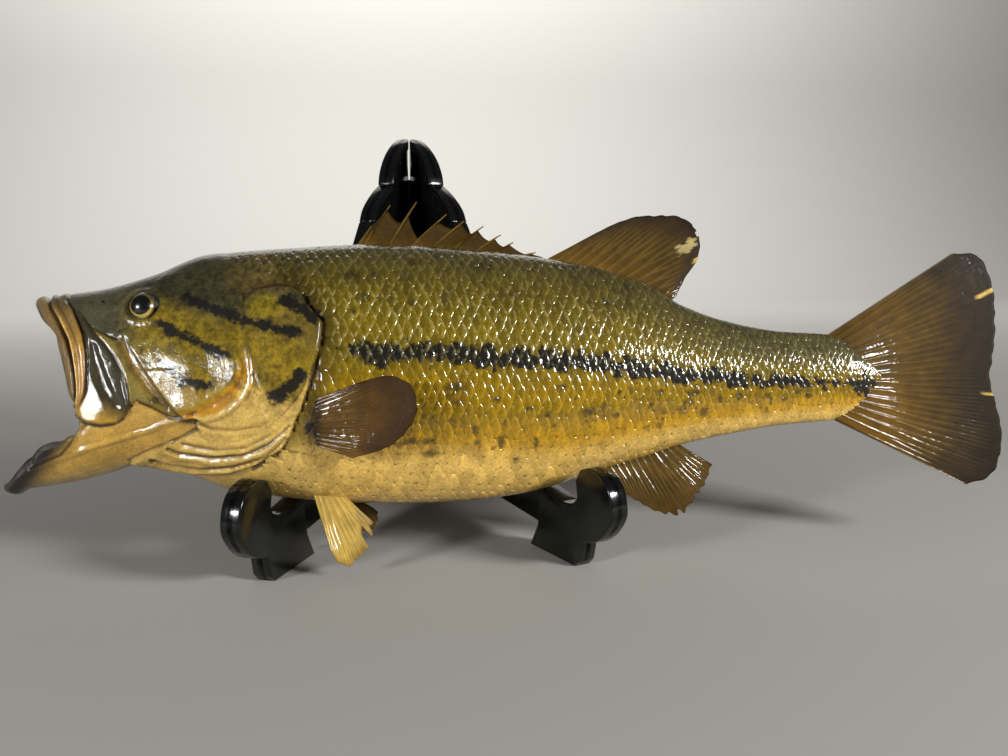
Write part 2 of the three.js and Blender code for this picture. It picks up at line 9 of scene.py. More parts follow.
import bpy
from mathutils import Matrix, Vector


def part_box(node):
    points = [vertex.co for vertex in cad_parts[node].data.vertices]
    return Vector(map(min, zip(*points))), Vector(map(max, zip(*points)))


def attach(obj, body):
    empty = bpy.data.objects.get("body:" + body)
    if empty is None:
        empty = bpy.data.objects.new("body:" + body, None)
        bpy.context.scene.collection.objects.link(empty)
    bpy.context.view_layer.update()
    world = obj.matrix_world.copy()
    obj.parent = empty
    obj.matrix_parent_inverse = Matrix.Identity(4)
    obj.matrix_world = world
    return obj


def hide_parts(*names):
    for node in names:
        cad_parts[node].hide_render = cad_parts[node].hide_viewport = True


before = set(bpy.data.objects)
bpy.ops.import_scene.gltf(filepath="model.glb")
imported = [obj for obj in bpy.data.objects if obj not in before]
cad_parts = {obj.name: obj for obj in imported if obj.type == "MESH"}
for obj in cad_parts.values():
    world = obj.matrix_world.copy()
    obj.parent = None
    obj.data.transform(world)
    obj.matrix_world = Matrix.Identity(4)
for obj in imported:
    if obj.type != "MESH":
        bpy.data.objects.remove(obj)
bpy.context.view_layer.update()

# %% Tools used throughout
import math

import bmesh
import bpy
import numpy as np
from mathutils import Matrix, Vector

MM = 0.001
LEFT, RIGHT = -1, 1


def ramp(value, low, high):
    """0 below low, 1 above high and a smooth step between them."""
    share = np.clip((value - low) / np.where(high == low, 1e-9, high - low), 0, 1)
    return share * share * (3 - 2 * share)


def smooth_line(pairs):
    """A curve through [x, value] pairs that never overshoots them."""
    xs, ys = np.array(pairs, float).T
    slope = np.diff(ys) / np.diff(xs)
    before, after = np.append(slope[0], slope), np.append(slope, slope[-1])
    turns = before * after <= 0
    tangent = np.where(turns, 0, 2 * before * after / np.where(turns, 1, before + after))

    def line(x):
        x = np.asarray(x, float)
        i = np.clip(np.searchsorted(xs, x, side="right") - 1, 0, len(xs) - 2)
        span = xs[i + 1] - xs[i]
        t = np.clip((x - xs[i]) / span, 0, 1)
        ease = t * t * (3 - 2 * t)
        bend = tangent[i] * t * (1 - t) ** 2 - tangent[i + 1] * t * t * (1 - t)
        return ys[i] * (1 - ease) + ys[i + 1] * ease + span * bend

    return line


def distance(x, h, path):
    """Distance in the side view from each point to a path of [x, h] corners."""
    best = np.full(np.shape(x), 1e9)
    for (ax, ah), (bx, bh) in zip(path[:-1], path[1:]):
        run, rise = bx - ax, bh - ah
        t = np.clip(((x - ax) * run + (h - ah) * rise) / max(run * run + rise * rise, 1e-9), 0, 1)
        best = np.minimum(best, np.hypot(x - ax - t * run, h - ah - t * rise))
    return best


def inside(x, h, corners):
    """Distance to the edge of a closed side outline, positive inside it and negative outside."""
    loop = list(corners) + [corners[0]]
    odd = np.zeros(np.shape(x), bool)
    for (ax, ah), (bx, bh) in zip(loop[:-1], loop[1:]):
        if ah != bh:
            crosses = (ah > h) != (bh > h)
            odd ^= crosses & (x < (bx - ax) * (h - ah) / (bh - ah) + ax)
    return np.where(odd, 1, -1) * distance(x, h, loop)


# %% [markdown]
# ## The fish's frame
#
# The fish leans back 14 degrees against the easel and its head and tail curve a little to its
# left. The easel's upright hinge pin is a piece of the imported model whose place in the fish's
# drawing is known, so it tells how far the whole drawing has to be shifted to meet the frame.

# %% From the fish's frame to the room
LEAN = math.radians(14)
CENTRE_HEIGHT = 100
HEAD_BEND, TAIL_BEND, BEND_LENGTH = 6, 20, 280
HINGE_X, HINGE_Y = -46, 166

pin_low, pin_high = [np.array(corner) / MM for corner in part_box("easel_pin")]
SHIFT = (pin_low + pin_high)[:2] / 2 - (HINGE_X, HINGE_Y)


def pose(points):
    """Moves points (..., 3) from the fish's frame, in mm, to the room, in metres."""
    x, w, h = np.moveaxis(np.asarray(points, float), -1, 0)
    w = w - np.where(x < 0, HEAD_BEND, TAIL_BEND) * (x / BEND_LENGTH) ** 2
    y = w * math.cos(LEAN) + h * math.sin(LEAN)
    z = CENTRE_HEIGHT - w * math.sin(LEAN) + h * math.cos(LEAN)
    return np.stack([x + SHIFT[0], y + SHIFT[1], z], axis=-1) * MM


print("shift of the drawing in mm:", np.round(SHIFT, 2))


# %% Meshes from a grid
def net(name, points, values=None, around=False):
    """Lays a bmesh grid over an array of points (rows, columns, 3) in metres.

    values holds named numbers (rows, columns) or vectors (rows, columns, 3) that the mesh keeps
    for its material. With around, the last column meets the first and the doubles are merged.
    """
    rows, columns = points.shape[:2]
    build = bmesh.new()
    bmesh.ops.create_grid(build, x_segments=columns - 1, y_segments=rows - 1, size=1)
    flat = np.array([vertex.co for vertex in build.verts])
    column = np.rint((flat[:, 0] + 1) / 2 * (columns - 1)).astype(int)
    row = np.rint((flat[:, 1] + 1) / 2 * (rows - 1)).astype(int)
    for vertex, place in zip(build.verts, points[row, column]):
        vertex.co = place
    mesh = bpy.data.meshes.new(name)
    build.to_mesh(mesh)
    for key, value in (values or {}).items():
        keep(mesh, key, value[row, column])
    build.clear()
    build.from_mesh(mesh)
    if around:
        bmesh.ops.remove_doubles(build, verts=build.verts, dist=1e-6)
    bmesh.ops.recalc_face_normals(build, faces=build.faces)
    build.to_mesh(mesh)
    build.free()
    return mesh


def finished(build, name):
    """Turns a bmesh into a mesh of this name and lets go of it."""
    mesh = bpy.data.meshes.new(name)
    build.to_mesh(mesh)
    build.free()
    return mesh


def corners_of(geometry):
    """The corners among what a bmesh operation made."""
    return [item for item in geometry if isinstance(item, bmesh.types.BMVert)]


def keep(mesh, key, value):
    """Keeps one number or one vector for each corner of a mesh, for its material to read."""
    kind = "FLOAT" if value.ndim == 1 else "FLOAT_VECTOR"
    layer = mesh.attributes.new(key, kind, "POINT")
    layer.data.foreach_set("value" if value.ndim == 1 else "vector", value.ravel().astype(np.float32))


def show(name, mesh, material, replaced=()):
    """Puts a mesh in the scene as a smooth-shaded piece of the still model."""
    piece = bpy.data.objects.new(name, mesh)
    bpy.context.scene.collection.objects.link(piece)
    mesh.materials.clear()
    mesh.materials.append(material)
    mesh.polygons.foreach_set("use_smooth", np.ones(len(mesh.polygons), bool))
    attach(piece, "root")
    if replaced:
        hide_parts(*replaced)
    print(f"{name}: {len(mesh.vertices)} corners, {len(mesh.polygons)} faces")
    return piece


def normals(points):
    """Unit normals of a net of points, by crossing its two directions."""
    along, across = np.gradient(points, axis=0), np.gradient(points, axis=1)
    across[:, 0] = across[:, -1] = points[:, 1] - points[:, -2]
    out = np.cross(across, along)
    return out / np.maximum(np.linalg.norm(out, axis=-1, keepdims=True), 1e-9)


# %% [markdown]
# ## The shape of the fish
#
# A bass is easy to describe by a few lines: its back and belly as seen from the side, its half
# width as seen from above, and the waist line, the height at which it is widest. Between them
# every cross-section is a superellipse, slightly squarer than an ellipse. Ahead of the mouth's
# corner the section is wide at two heights, once in the snout and once in the lower jaw.

# %% The lines of the body, in mm
BACK_LINE = [(-248, 46), (-238, 47.5), (-215, 50.5), (-188, 58.5), (-160, 69.8), (-118, 74), (-65, 76.5),
             (-10, 72.8), (45, 65.5), (82, 54.5), (105, 40.5), (130, 31), (160, 24.5), (196, 21),
             (208, 13.5), (216, 6.5), (221, -3)]
UNDER_LINE = [(-262.5, -50), (-260, -55), (-256, -56), (-250, -53.3), (-240, -52), (-226, -50), (-210, -46),
              (-199, -43), (-184, -44.5), (-166, -50.5), (-150, -57.5), (-130, -62), (-85, -67.5),
              (-40, -69), (0, -66.8), (24, -62.5), (47, -55.5), (77, -48), (99, -41.8), (130, -36),
              (160, -32), (196, -29.5), (208, -25), (216, -17), (221, -8)]
HALF_WIDTH = [(-248, 4), (-243, 12), (-236, 18), (-228, 24.5), (-218, 29.5), (-205, 32), (-190, 34),
              (-165, 39), (-140, 42), (-100, 43.5), (-50, 42.5), (0, 38), (50, 31), (100, 22),
              (150, 14.5), (185, 10), (205, 7), (221, 3)]
JAW_HALF_WIDTH = [(-262.5, 3.5), (-258, 7.5), (-250, 10.5), (-240, 15), (-228, 22), (-215, 29.5),
                  (-200, 33.5), (-190, 34), (-165, 39)]
WAIST_LINE = [(-248, 41), (-240, 30), (-228, 18), (-210, 8), (-190, 4), (-137, 3), (-82, 5), (0, 3),
              (60, 1), (130, -3), (221, -5)]
JAW_WAIST_LINE = [(-262.5, -48.5), (-258, -47), (-249, -43), (-238, -38), (-227, -33), (-218, -27),
                  (-208, -15), (-194, 1)]
SECTION_POWER = 2.25

back, under, waist = smooth_line(BACK_LINE), smooth_line(UNDER_LINE), smooth_line(WAIST_LINE)
half_width, jaw_half_width = smooth_line(HALF_WIDTH), smooth_line(JAW_HALF_WIDTH)
jaw_waist_line = smooth_line(JAW_WAIST_LINE)


def jaw_waist(x):
    """Height at which the lower half of a section is widest; behind the mouth it is the waist."""
    return np.where(x < JAW_WAIST_LINE[-1][0], np.minimum(jaw_waist_line(x), waist(x)), waist(x))


def side_level(x, h):
    """-1 on the line of the belly, 0 at the waist and 1 on the line of the back."""
    middle = waist(x)
    return (h - middle) / np.where(h > middle, back(x) - middle, middle - under(x))


def section_level(x, w, h):
    """Below 1 inside the body's cross-section at x, and above 1 outside it."""
    high, low = waist(x), jaw_waist(x)
    jaw_share = 1 - ramp(h, low, np.maximum(high, low + 0.1))
    side = half_width(x) + (jaw_half_width(x) - half_width(x)) * jaw_share * (x < -165)
    above = np.maximum(h - high, 0) / (back(x) - high)
    below = np.maximum(low - h, 0) / (low - under(x))
    return (np.abs(w) / side) ** SECTION_POWER + above ** SECTION_POWER + below ** SECTION_POWER


# The body is swept round an axis from which every point of it can be seen.
AXIS_LINE = [(-262.5, -10), (-248, -2), (-235, -8), (-225, -15), (-218, -20), (-200, -18), (-180, -12),
             (-150, -5), (-100, 2), (0, 3), (60, 1), (130, -3), (221, -5)]
axis_height = smooth_line(AXIS_LINE)


def reach(level, x, angle, furthest=120):
    """Distance from the axis to a section's surface at an angle up from sideways, by halving."""
    low, high = np.zeros(np.shape(x)), np.full(np.shape(x), float(furthest))
    for _ in range(26):
        middle = (low + high) / 2
        outside = level(x, middle * np.cos(angle), axis_height(x) + middle * np.sin(angle)) > 1
        high = np.where(outside, middle, high)
        low = np.where(outside, low, middle)
    return (low + high) / 2


# %% [markdown]
# ## The plates of the head
#
# A bass's head is skin over bone plates: upper lip, upper jaw plate (maxilla), cheek, the two
# bones that edge the cheek, the gill cover and the folded membrane beneath it. Each plate is an
# outline in the side view. A relief function turns these outlines into steps, ridges and grooves
# a millimetre or two deep, which is how such a low relief is carved, and it can be read anywhere.

# %% Outlines and lines of the head, as [x, h] in mm
LIP_FRONT = [(-248, 48), (-247, 45), (-240, 34.5), (-234.8, 26.4), (-229.3, 17.9), (-226.3, 8.8),
             (-224.4, 1.6), (-223.2, -4.9), (-222.4, -9.8), (-221.6, -15.7), (-218.4, -20)]
LIP_BACK = [(-229, 50), (-228.5, 43), (-223.5, 37.5), (-219.3, 29.8), (-216, 22.5), (-214.5, 14), (-214.1, 5),
            (-214.2, -3), (-214.9, -8), (-217.2, -13), (-218.4, -20)]
MAXILLA = [(-226.9, 40.7), (-220.9, 35.2), (-217, 27.3), (-214.3, 20.4), (-213.2, 13.2), (-213.1, 5.1),
           (-213.4, -1.9), (-214, -7.2), (-216.9, -12.4), (-218.4, -16), (-217.2, -19), (-214.2, -21.8),
           (-206.4, -23), (-199.5, -22.2), (-195.5, -18.6), (-193.1, -14.4), (-193.7, -11.1),
           (-194.9, -5.2), (-195.9, 1.8), (-198.6, 6.8), (-202.9, 14.5), (-206.3, 18.5),
           (-210.2, 22), (-214.4, 27.8), (-219, 34.5)]
MAXILLA_HOLLOW = [(-211.5, 15), (-208, 5), (-204.5, -4), (-200, -13)]
SECOND_PLATE = [(-214.4, 27.8), (-206.3, 18.5), (-200.7, 11.2), (-195.9, 1.8), (-193.9, -5.2),
                (-193.1, -14.4), (-188.5, -12.5), (-180, -15), (-183.6, -9.5), (-188.8, -2.6),
                (-194.3, 6.3), (-199, 15), (-200.8, 18.8), (-206, 22.2), (-212.1, 25.5)]
OCHRE_STRIP = [(-200.8, 19.2), (-197.1, 11.2), (-191.5, 1.4), (-186.1, -6.7), (-179.9, -13.2), (-174, -18),
               (-171.5, -14.5), (-175.1, -11.8), (-179.7, -6.9), (-183.6, -1.2), (-188.4, 6.9),
               (-191.6, 11.9), (-194.6, 18.8)]
TEAR_BONE_EDGE = [(-217, 31), (-212.1, 25.5), (-209.3, 24), (-206, 22.2), (-201.7, 20.3), (-195.8, 19.8),
                  (-194.8, 18.8), (-193.8, 14.6), (-191.6, 11.9), (-188.4, 6.9), (-183.6, -1.2),
                  (-179.7, -6.9), (-175.1, -11.8)]
MOUTH_FOLD = [(-194.3, -14.8), (-189.5, -11.4), (-181.3, -16), (-172.1, -21), (-166.9, -20.1), (-160, -18)]
CHEEK = [(-205, 24), (-196, 19.8), (-193.8, 14.6), (-188.4, 6.9), (-183.6, -1.2), (-175.1, -11.8),
         (-168, -18), (-158, -16), (-153, -13), (-146, -9), (-141, -4), (-138.5, 2), (-141, 12),
         (-142.5, 22), (-146, 36), (-152, 48), (-170, 52), (-190, 52)]
CHEEK_PLATE = [(-205, 24), (-196, 19.8), (-193.8, 14.6), (-183.6, -1.2), (-175.1, -11.8), (-166, -21.5),
               (-160, -21.5), (-156, -23.4), (-151, -22.6), (-143, -19.4), (-136, -13.4), (-132, -6),
               (-131.8, 2), (-133, 8), (-135, 22), (-137, 38), (-141, 48), (-152, 56), (-180, 56)]
CHEEK_PLATE_EDGE = CHEEK_PLATE[5:16]
GILL_COVER = [(-137, 40), (-132, 43), (-122, 45), (-114, 45), (-109, 42), (-106, 36), (-102, 31), (-98.2, 26),
              (-98.6, 19), (-100, 11), (-103, 3), (-105.5, -4), (-109, -11), (-117, -20), (-124, -25.5),
              (-134, -30.5), (-141, -33), (-148, -34), (-153, -33), (-158, -30), (-160.5, -25),
              (-159, -20), (-150, -19), (-140, -12), (-136, 2), (-139, 22)]
COVER_SEAM = [(-133, 3), (-129, -8), (-121, -15), (-113, -12), (-106, -2)]
MEMBRANE = [(-104, 1), (-106, -8), (-109.5, -18), (-112.5, -24), (-115, -31), (-120, -38), (-133, -45),
            (-147, -48.5), (-164, -48), (-184, -45), (-199, -42), (-186, -37), (-173, -32), (-160, -27),
            (-150, -22), (-130, -10), (-116, 1)]
MEMBRANE_EDGE = MEMBRANE[:10]
MEMBRANE_TOP = [(-106, -4), (-109, -11), (-117, -20), (-124, -25.5), (-134, -30.5), (-148, -34), (-160, -29),
                (-173, -31.8), (-186, -36.7), (-199, -40.8)]
# The folds of soft skin beneath the cover, each from the corner of the jaw back and up.
SOFT_FOLDS = [[(-160, -23), (-153, -26.3), (-142, -27.3), (-129, -25.8), (-118, -19.3), (-110, -11),
               (-105.7, -3.5)],
              [(-168, -33), (-150, -37), (-136, -36), (-123, -30), (-113, -21.5)],
              [(-176, -35), (-170, -37.6), (-154, -40.3), (-138.7, -39.7), (-125.5, -34.8), (-115, -26.3)],
              [(-186, -40), (-176.7, -43.1), (-160, -45.9), (-143.7, -45.4), (-128, -41.4), (-117.4, -32.6)]]
SOFT_FOLD_DEPTHS = [0.7, 0.8, 1.4, 1.4]
JAW_RIDGE = [(-255, -47.5), (-244, -43.5), (-233.4, -39.8), (-224.3, -37.6), (-216.1, -35), (-208.2, -32.4),
             (-200.8, -30.4), (-193.5, -28.1), (-185.9, -26.4), (-178.2, -23.8), (-170.7, -21.8),
             (-163, -19.7)]
JAW_LIP_EDGE = [(-262, -46), (-252, -44), (-237, -39.6), (-229, -37), (-223.4, -31.5), (-219.6, -26.3),
                (-214.5, -22.4)]
JAW_LOWER_EDGE = [(-199, -41), (-190.8, -37.6), (-179.3, -33.6), (-167.5, -29.6), (-160, -26)]
# Narrow ridges and grooves: their line, how high they stand and their half width in mm.
HEAD_LINES = [(TEAR_BONE_EDGE, -0.7, 1.0), (MOUTH_FOLD, -1.2, 1.1), (JAW_RIDGE, 0.9, 2.2),
              (JAW_LIP_EDGE, -0.9, 1.3), (JAW_LOWER_EDGE, -0.9, 1.2), (COVER_SEAM, -0.35, 1.2)]
EYE_X, EYE_H = -188, 37
EYE_HALF_LENGTH, EYE_HALF_HEIGHT = 7.7, 6.7
NOSTRILS = [(-215.4, 40.8, 0.75), (-209.2, 41.2, 1.05)]

# Across the upper lip, from its front edge (0) to the groove before the maxilla (1).
LIP_PROFILE = smooth_line([(0, 0.2), (0.16, 0.9), (0.27, 0.3), (0.36, -1.5), (0.44, 0.1), (0.5, 0.75),
                           (0.57, 0.1), (0.66, -0.25), (0.72, 0.35), (0.85, 0.5), (0.94, -0.4), (1, -2)])


def lip_share(x, h):
    """0 at the front edge of the upper lip and 1 at the groove behind it."""
    front, rear = distance(x, h, LIP_FRONT), distance(x, h, LIP_BACK)
    return front / np.maximum(front + rear, 1e-6)


def in_upper_lip(x, h):
    """Positive on the upper lip, in mm from its edges."""
    return inside(x, h, LIP_FRONT + LIP_BACK[::-1])


def membrane_share(x, h):
    """0 under the gill cover's lower edge and 1 at the gill membrane's free edge."""
    top, edge = distance(x, h, MEMBRANE_TOP), distance(x, h, MEMBRANE_EDGE)
    return top / np.maximum(top + edge, 1e-6)


def eye_distance(x, h):
    """1 on the rim of the eye's opening, less inside it."""
    return np.hypot((x - EYE_X) / EYE_HALF_LENGTH, (h - EYE_H) / EYE_HALF_HEIGHT)


# %% The relief of the head, in mm
def head_relief(x, h):
    """How far the skin stands out from the plain body at each side-view point."""
    cover = inside(x, h, GILL_COVER)
    plate = inside(x, h, CHEEK_PLATE)
    plate_edge = distance(x, h, CHEEK_PLATE_EDGE)
    membrane = inside(x, h, MEMBRANE)

    cover_lift = 2.6 * ramp(cover, -0.2, 1.0) * (1 - 0.35 * ramp(-x, 120, 140))
    plate_lift = 3.3 * ramp(plate, -0.2, 0.9) * (1 - 0.85 * ramp(plate_edge, 2, 26))
    plate_lift = plate_lift * (1 - 0.6 * ramp(h, 4, 30))
    membrane_lift = 1.5 * ramp(membrane, -0.2, 0.9)
    out = np.maximum(np.maximum(cover_lift, plate_lift), membrane_lift)

    # The flesh falls away behind the cover, where the gill opening is.
    gap = np.maximum(cover, membrane)
    out -= 2.0 * ramp(gap, -5, -0.4) * (1 - ramp(gap, -0.4, 0)) * (x > -135) * (h < 42)

    cheek = inside(x, h, CHEEK)
    rear_rim = ramp(-distance(x, h, CHEEK[6:15]), -22, 0) * (1 - 0.7 * ramp(h, 0, 25))
    out += ramp(cheek, -0.3, 0.8) * rear_rim
    out += 1.4 * ramp(-np.hypot((x + 163) / 22, (h - 6) / 24), -1, 0)
    band = (cheek < 0) & (plate > 0)
    out -= np.where(band, 0.7 * ramp(plate, 0.5, 3) * ramp(-cheek, 0.2, 2) * (1 - ramp(h, 5, 30)), 0)

    share = membrane_share(x, h)
    fold = (share * 3.2 + 0.22 * np.sin(x / 7.3) + 0.16 * np.sin(h / 5.1 + x / 13)) % 1
    out += 0.35 * (fold - 0.5) * (1 - ramp(fold, 0.86, 1)) * ramp(membrane, 0, 2) * (x < -104)
    for path, depth in zip(SOFT_FOLDS, SOFT_FOLD_DEPTHS):
        near_fold = -distance(x, h, path)
        out += depth * (0.5 * ramp(near_fold, -4.5, -1.5) - 1.5 * ramp(near_fold, -1.8, 0))

    lip = in_upper_lip(x, h)
    out += LIP_PROFILE(lip_share(x, h)) * ramp(lip, -0.8, 0.3)
    maxilla = inside(x, h, MAXILLA)
    hollow = distance(x, h, MAXILLA_HOLLOW)
    out += 2.0 * ramp(maxilla, -0.3, 1.2) - 1.3 * ramp(-hollow, -4.5, -0.5) * ramp(maxilla, 0, 3)
    out += 1.2 * ramp(inside(x, h, SECOND_PLATE), -0.3, 0.9)
    out -= 0.8 * ramp(inside(x, h, OCHRE_STRIP), -0.2, 1.8)
    for line, height, half in HEAD_LINES:
        out += height * ramp(-distance(x, h, line), -half, 0)

    eye = eye_distance(x, h)
    out += 0.8 * ramp(eye, 1.0, 1.18) * (1 - ramp(eye, 1.25, 1.7))
    out -= 3.4 * (1 - ramp(eye, 0.84, 1.04))
    for nostril_x, nostril_h, radius in NOSTRILS:
        pit = np.hypot(x - nostril_x, (h - nostril_h) * 1.25) / radius
        out += 0.35 * ramp(pit, 0.8, 1.2) * (1 - ramp(pit, 1.3, 2)) - 1.5 * (1 - ramp(pit, 0.5, 1.05))
    return out


# %% [markdown]
# ## One skin
#
# The skin is one sheet without a seam: it starts deep in the throat, comes forward over the inside
# of the mouth, rolls round the lips and runs back over head and body to the tail. A sheet like
# that is a grid wrapped into a tube, so it starts as one flat bmesh grid whose corners are moved.
# Rows are close together on the head, where the carving is, and far apart under the scales.

# %% Rows and columns of the skin
SIDE_COLUMNS = 158
MOUTH_ROWS, LIP_ROWS, HEAD_ROWS, BODY_ROWS = 30, 9, 208, 46
HEAD_END, BODY_END, THROAT_X = -92, 221, -150
UNDER_SCALES = 0.7          # how far the skin lies below the body's outside where scales cover it

# Where the outside of the lips begins, by angle up from sideways.
RIM = [(-90, -260.8), (-86, -259.6), (-80, -254), (-75, -247), (-65, -240.4), (-55, -234.6), (-42, -227.8),
       (-29, -223.4), (-12, -217.8), (0, -216.6), (19, -220.4), (34, -223), (48, -226.2), (57, -229.2),
       (65, -234.2), (73, -240.2), (85, -245), (90, -245.6)]
rim_x = smooth_line(RIM)
MOUTH_TOP = [(-256, 30), (-248, 37.5), (-238, 39.5), (-215, 40), (-200, 34), (-180, 22), (-150, -2)]
MOUTH_FLOOR = [(-256, -44), (-248, -46), (-225, -43.5), (-200, -37), (-186, -33), (-173, -28.5), (-150, -20)]
MOUTH_HALF_WIDTH = [(-262, 2), (-256, 4), (-248, 7), (-236, 13), (-225, 20), (-215, 25.5), (-200, 28),
                    (-180, 27), (-165, 21), (-150, 9)]
mouth_top, mouth_floor = smooth_line(MOUTH_TOP), smooth_line(MOUTH_FLOOR)
mouth_half_width = smooth_line(MOUTH_HALF_WIDTH)


def mouth_level(x, w, h):
    """Below 1 inside the mouth's hollow."""
    middle = (mouth_top(x) + mouth_floor(x)) / 2
    tall = (mouth_top(x) - mouth_floor(x)) / 2
    return np.abs(w / mouth_half_width(x)) ** SECTION_POWER + np.abs((h - middle) / tall) ** SECTION_POWER


def around_axis(x, angle, side, length):
    """Fish-frame points at a distance from the axis."""
    w = side * length * np.cos(angle)
    return np.stack([x, w, axis_height(x) + length * np.sin(angle)], axis=-1)


# One turn starts under the belly, climbs the right side and comes down the left.
turn = np.linspace(0, 2, 2 * SIDE_COLUMNS + 1)
fold = 1 - np.abs(turn - 1)
angles = np.radians(-90 + 180 * fold)
sides = np.where(turn < 1, RIGHT, LEFT)
print("columns:", len(turn), "about", round(math.pi * 40 / SIDE_COLUMNS, 2), "mm apart on the cheek")


# %% The outside, from the lips to the tail
def outside_rows():
    """The plain outside of the fish as a net of fish-frame points."""
    first = rim_x(np.degrees(angles))
    share = np.linspace(0, 1, HEAD_ROWS)[:, None]
    head_x = first + (HEAD_END - first) * share ** 1.12
    tail_share = np.linspace(0, 1, BODY_ROWS + 1)[1:, None] ** 0.86
    body_x = np.repeat(HEAD_END + (BODY_END - HEAD_END) * tail_share, len(turn), axis=1)
    x = np.concatenate([head_x, body_x])
    angle = np.broadcast_to(angles, x.shape)
    length = reach(section_level, x, angle)
    return around_axis(x, angle, sides, length)


plain = outside_rows()
outward = normals(plain)
px, pw, ph = np.moveaxis(plain, -1, 0)
if np.sum(outward[..., 1] * pw) < 0:
    outward = -outward


def scale_cover(x, h):
    """1 where scales cover the body, 0 on the bare head, with a soft edge."""
    bare = np.maximum(inside(x, h, GILL_COVER), inside(x, h, MEMBRANE))
    nape = smooth_line([(-70, -150), (-40, -128), (0, -112), (30, -106), (46, -118), (60, -150), (90, -168)])
    return ramp(x, nape(h) + 1, nape(h) + 10) * (1 - ramp(bare, -4, -1))


lift = head_relief(px, ph) * ramp(-px, 84, 96) - UNDER_SCALES * scale_cover(px, ph)
outer = plain + outward * lift[..., None]
print("relief from", round(float(lift.min()), 2), "to", round(float(lift.max()), 2), "mm")

# %% The lips and the inside of the mouth
LIP_THICKNESS = 3.4


def inside_rows():
    """The lining of the mouth, from the throat forward to just behind the lips."""
    first = outer[0, :, 0]
    share = np.linspace(1, 0, MOUTH_ROWS)[:, None]
    x = first + (THROAT_X - first) * share ** 1.4
    angle = np.broadcast_to(angles, x.shape)
    thin = np.linalg.norm(outer[0, :, 1:] - np.stack([0 * first, axis_height(first)], -1), axis=-1)
    hollow = reach(mouth_level, x, angle)
    body = reach(section_level, x, angle)
    walls = np.minimum(hollow, body - LIP_THICKNESS)
    near_lip = 1 - ramp(share, 0, 0.22)
    length = walls + (np.minimum(thin, body) - LIP_THICKNESS - walls) * near_lip
    length = length * (1 - ramp(share, 0.86, 1))
    return around_axis(x, angle, sides, length)


lining = inside_rows()


def lip_rows():
    """A half-round roll that joins the lining to the outside."""
    start, end = lining[-1], outer[0]
    along = np.roll(end, -1, axis=0) - np.roll(end, 1, axis=0)
    along[0] = along[-1] = end[1] - end[-2]
    forward = np.cross(along, outward[0])
    forward /= np.linalg.norm(forward, axis=-1, keepdims=True)
    forward *= np.where(np.sum(forward * (outer[0] - outer[4]), -1, keepdims=True) < 0, -1, 1)
    swing = np.pi * np.arange(1, LIP_ROWS + 1)[:, None, None] / (LIP_ROWS + 1)
    thick = np.linalg.norm(end - start, axis=-1, keepdims=True)
    return start + (end - start) * (1 - np.cos(swing)) / 2 + forward * np.sin(swing) * thick * 0.55


roll = lip_rows()
tail_pole = np.broadcast_to([BODY_END + 0.4, 0, -5.5], (1, len(turn), 3))
skin_points = np.concatenate([lining, roll, outer, tail_pole])
print("skin net:", skin_points.shape)

# %% [markdown]
# ## The paint
#
# A mount's skin has lost its colours, so all of them are paint: olive on the back, gold on the
# sides, tan below, with a ragged black band and dark cheek stripes. The broad areas are mixed here
# for each corner of a mesh, and the distance to the nearest dark mark is kept beside them, so that
# the material can fray the marks' edges finely. Skin and scales both ask the same two functions.

# %% Paint colours
def linear(code):
    """An sRGB hex colour such as 'c8a24f' as linear red, green and blue."""
    srgb = np.array([int(code[i:i + 2], 16) for i in (0, 2, 4)]) / 255
    return np.where(srgb <= 0.04045, srgb / 12.92, ((srgb + 0.055) / 1.055) ** 2.4)


BACK_PAINT, SHOULDER_PAINT, SIDE_PAINT = linear("4a421c"), linear("5c4d0a"), linear("725f02")
GOLD_PAINT, LOW_GOLD_PAINT, BELLY_PAINT = linear("8f7000"), linear("ab8003"), linear("cba552")
HEAD_TOP_PAINT, SNOUT_PAINT, CHEEK_PAINT = linear("35321c"), linear("464330"), linear("7a650c")
TAN_PAINT, MEMBRANE_PAINT, ORANGE_PAINT = linear("b08a3c"), linear("c09e50"), linear("ad7a0c")
LIP_PAINT, LIP_GROOVE_SHADE, LIP_RIDGE_PAINT = linear("7d6336"), linear("34190a"), linear("dcae5c")
PLATE_PAINT, PLATE_LOW_PAINT, JAW_TIP_PAINT = linear("38321f"), linear("a5802c"), linear("1d170c")
NAPE_PAINT, GILL_COVER_PAINT, PATCH_PAINT = linear("5e4f24"), linear("846c18"), linear("8c780c")
MOUTH_PAINT, STEM_PAINT, SOCKET_PAINT = linear("b58f6c"), linear("4d482a"), linear("1d1c14")
GILL_SHADE, FIN_ROOT_SHADE = linear("352806"), linear("241a08")
STRIP_PAINT, SECOND_PLATE_PAINT, LIP_OCHRE_PAINT = linear("8f7130"), linear("7b6a2e"), linear("a87b26")
LIP_BACK_PAINT, LIP_TOP_PAINT = linear("2e1d0b"), linear("57492c")

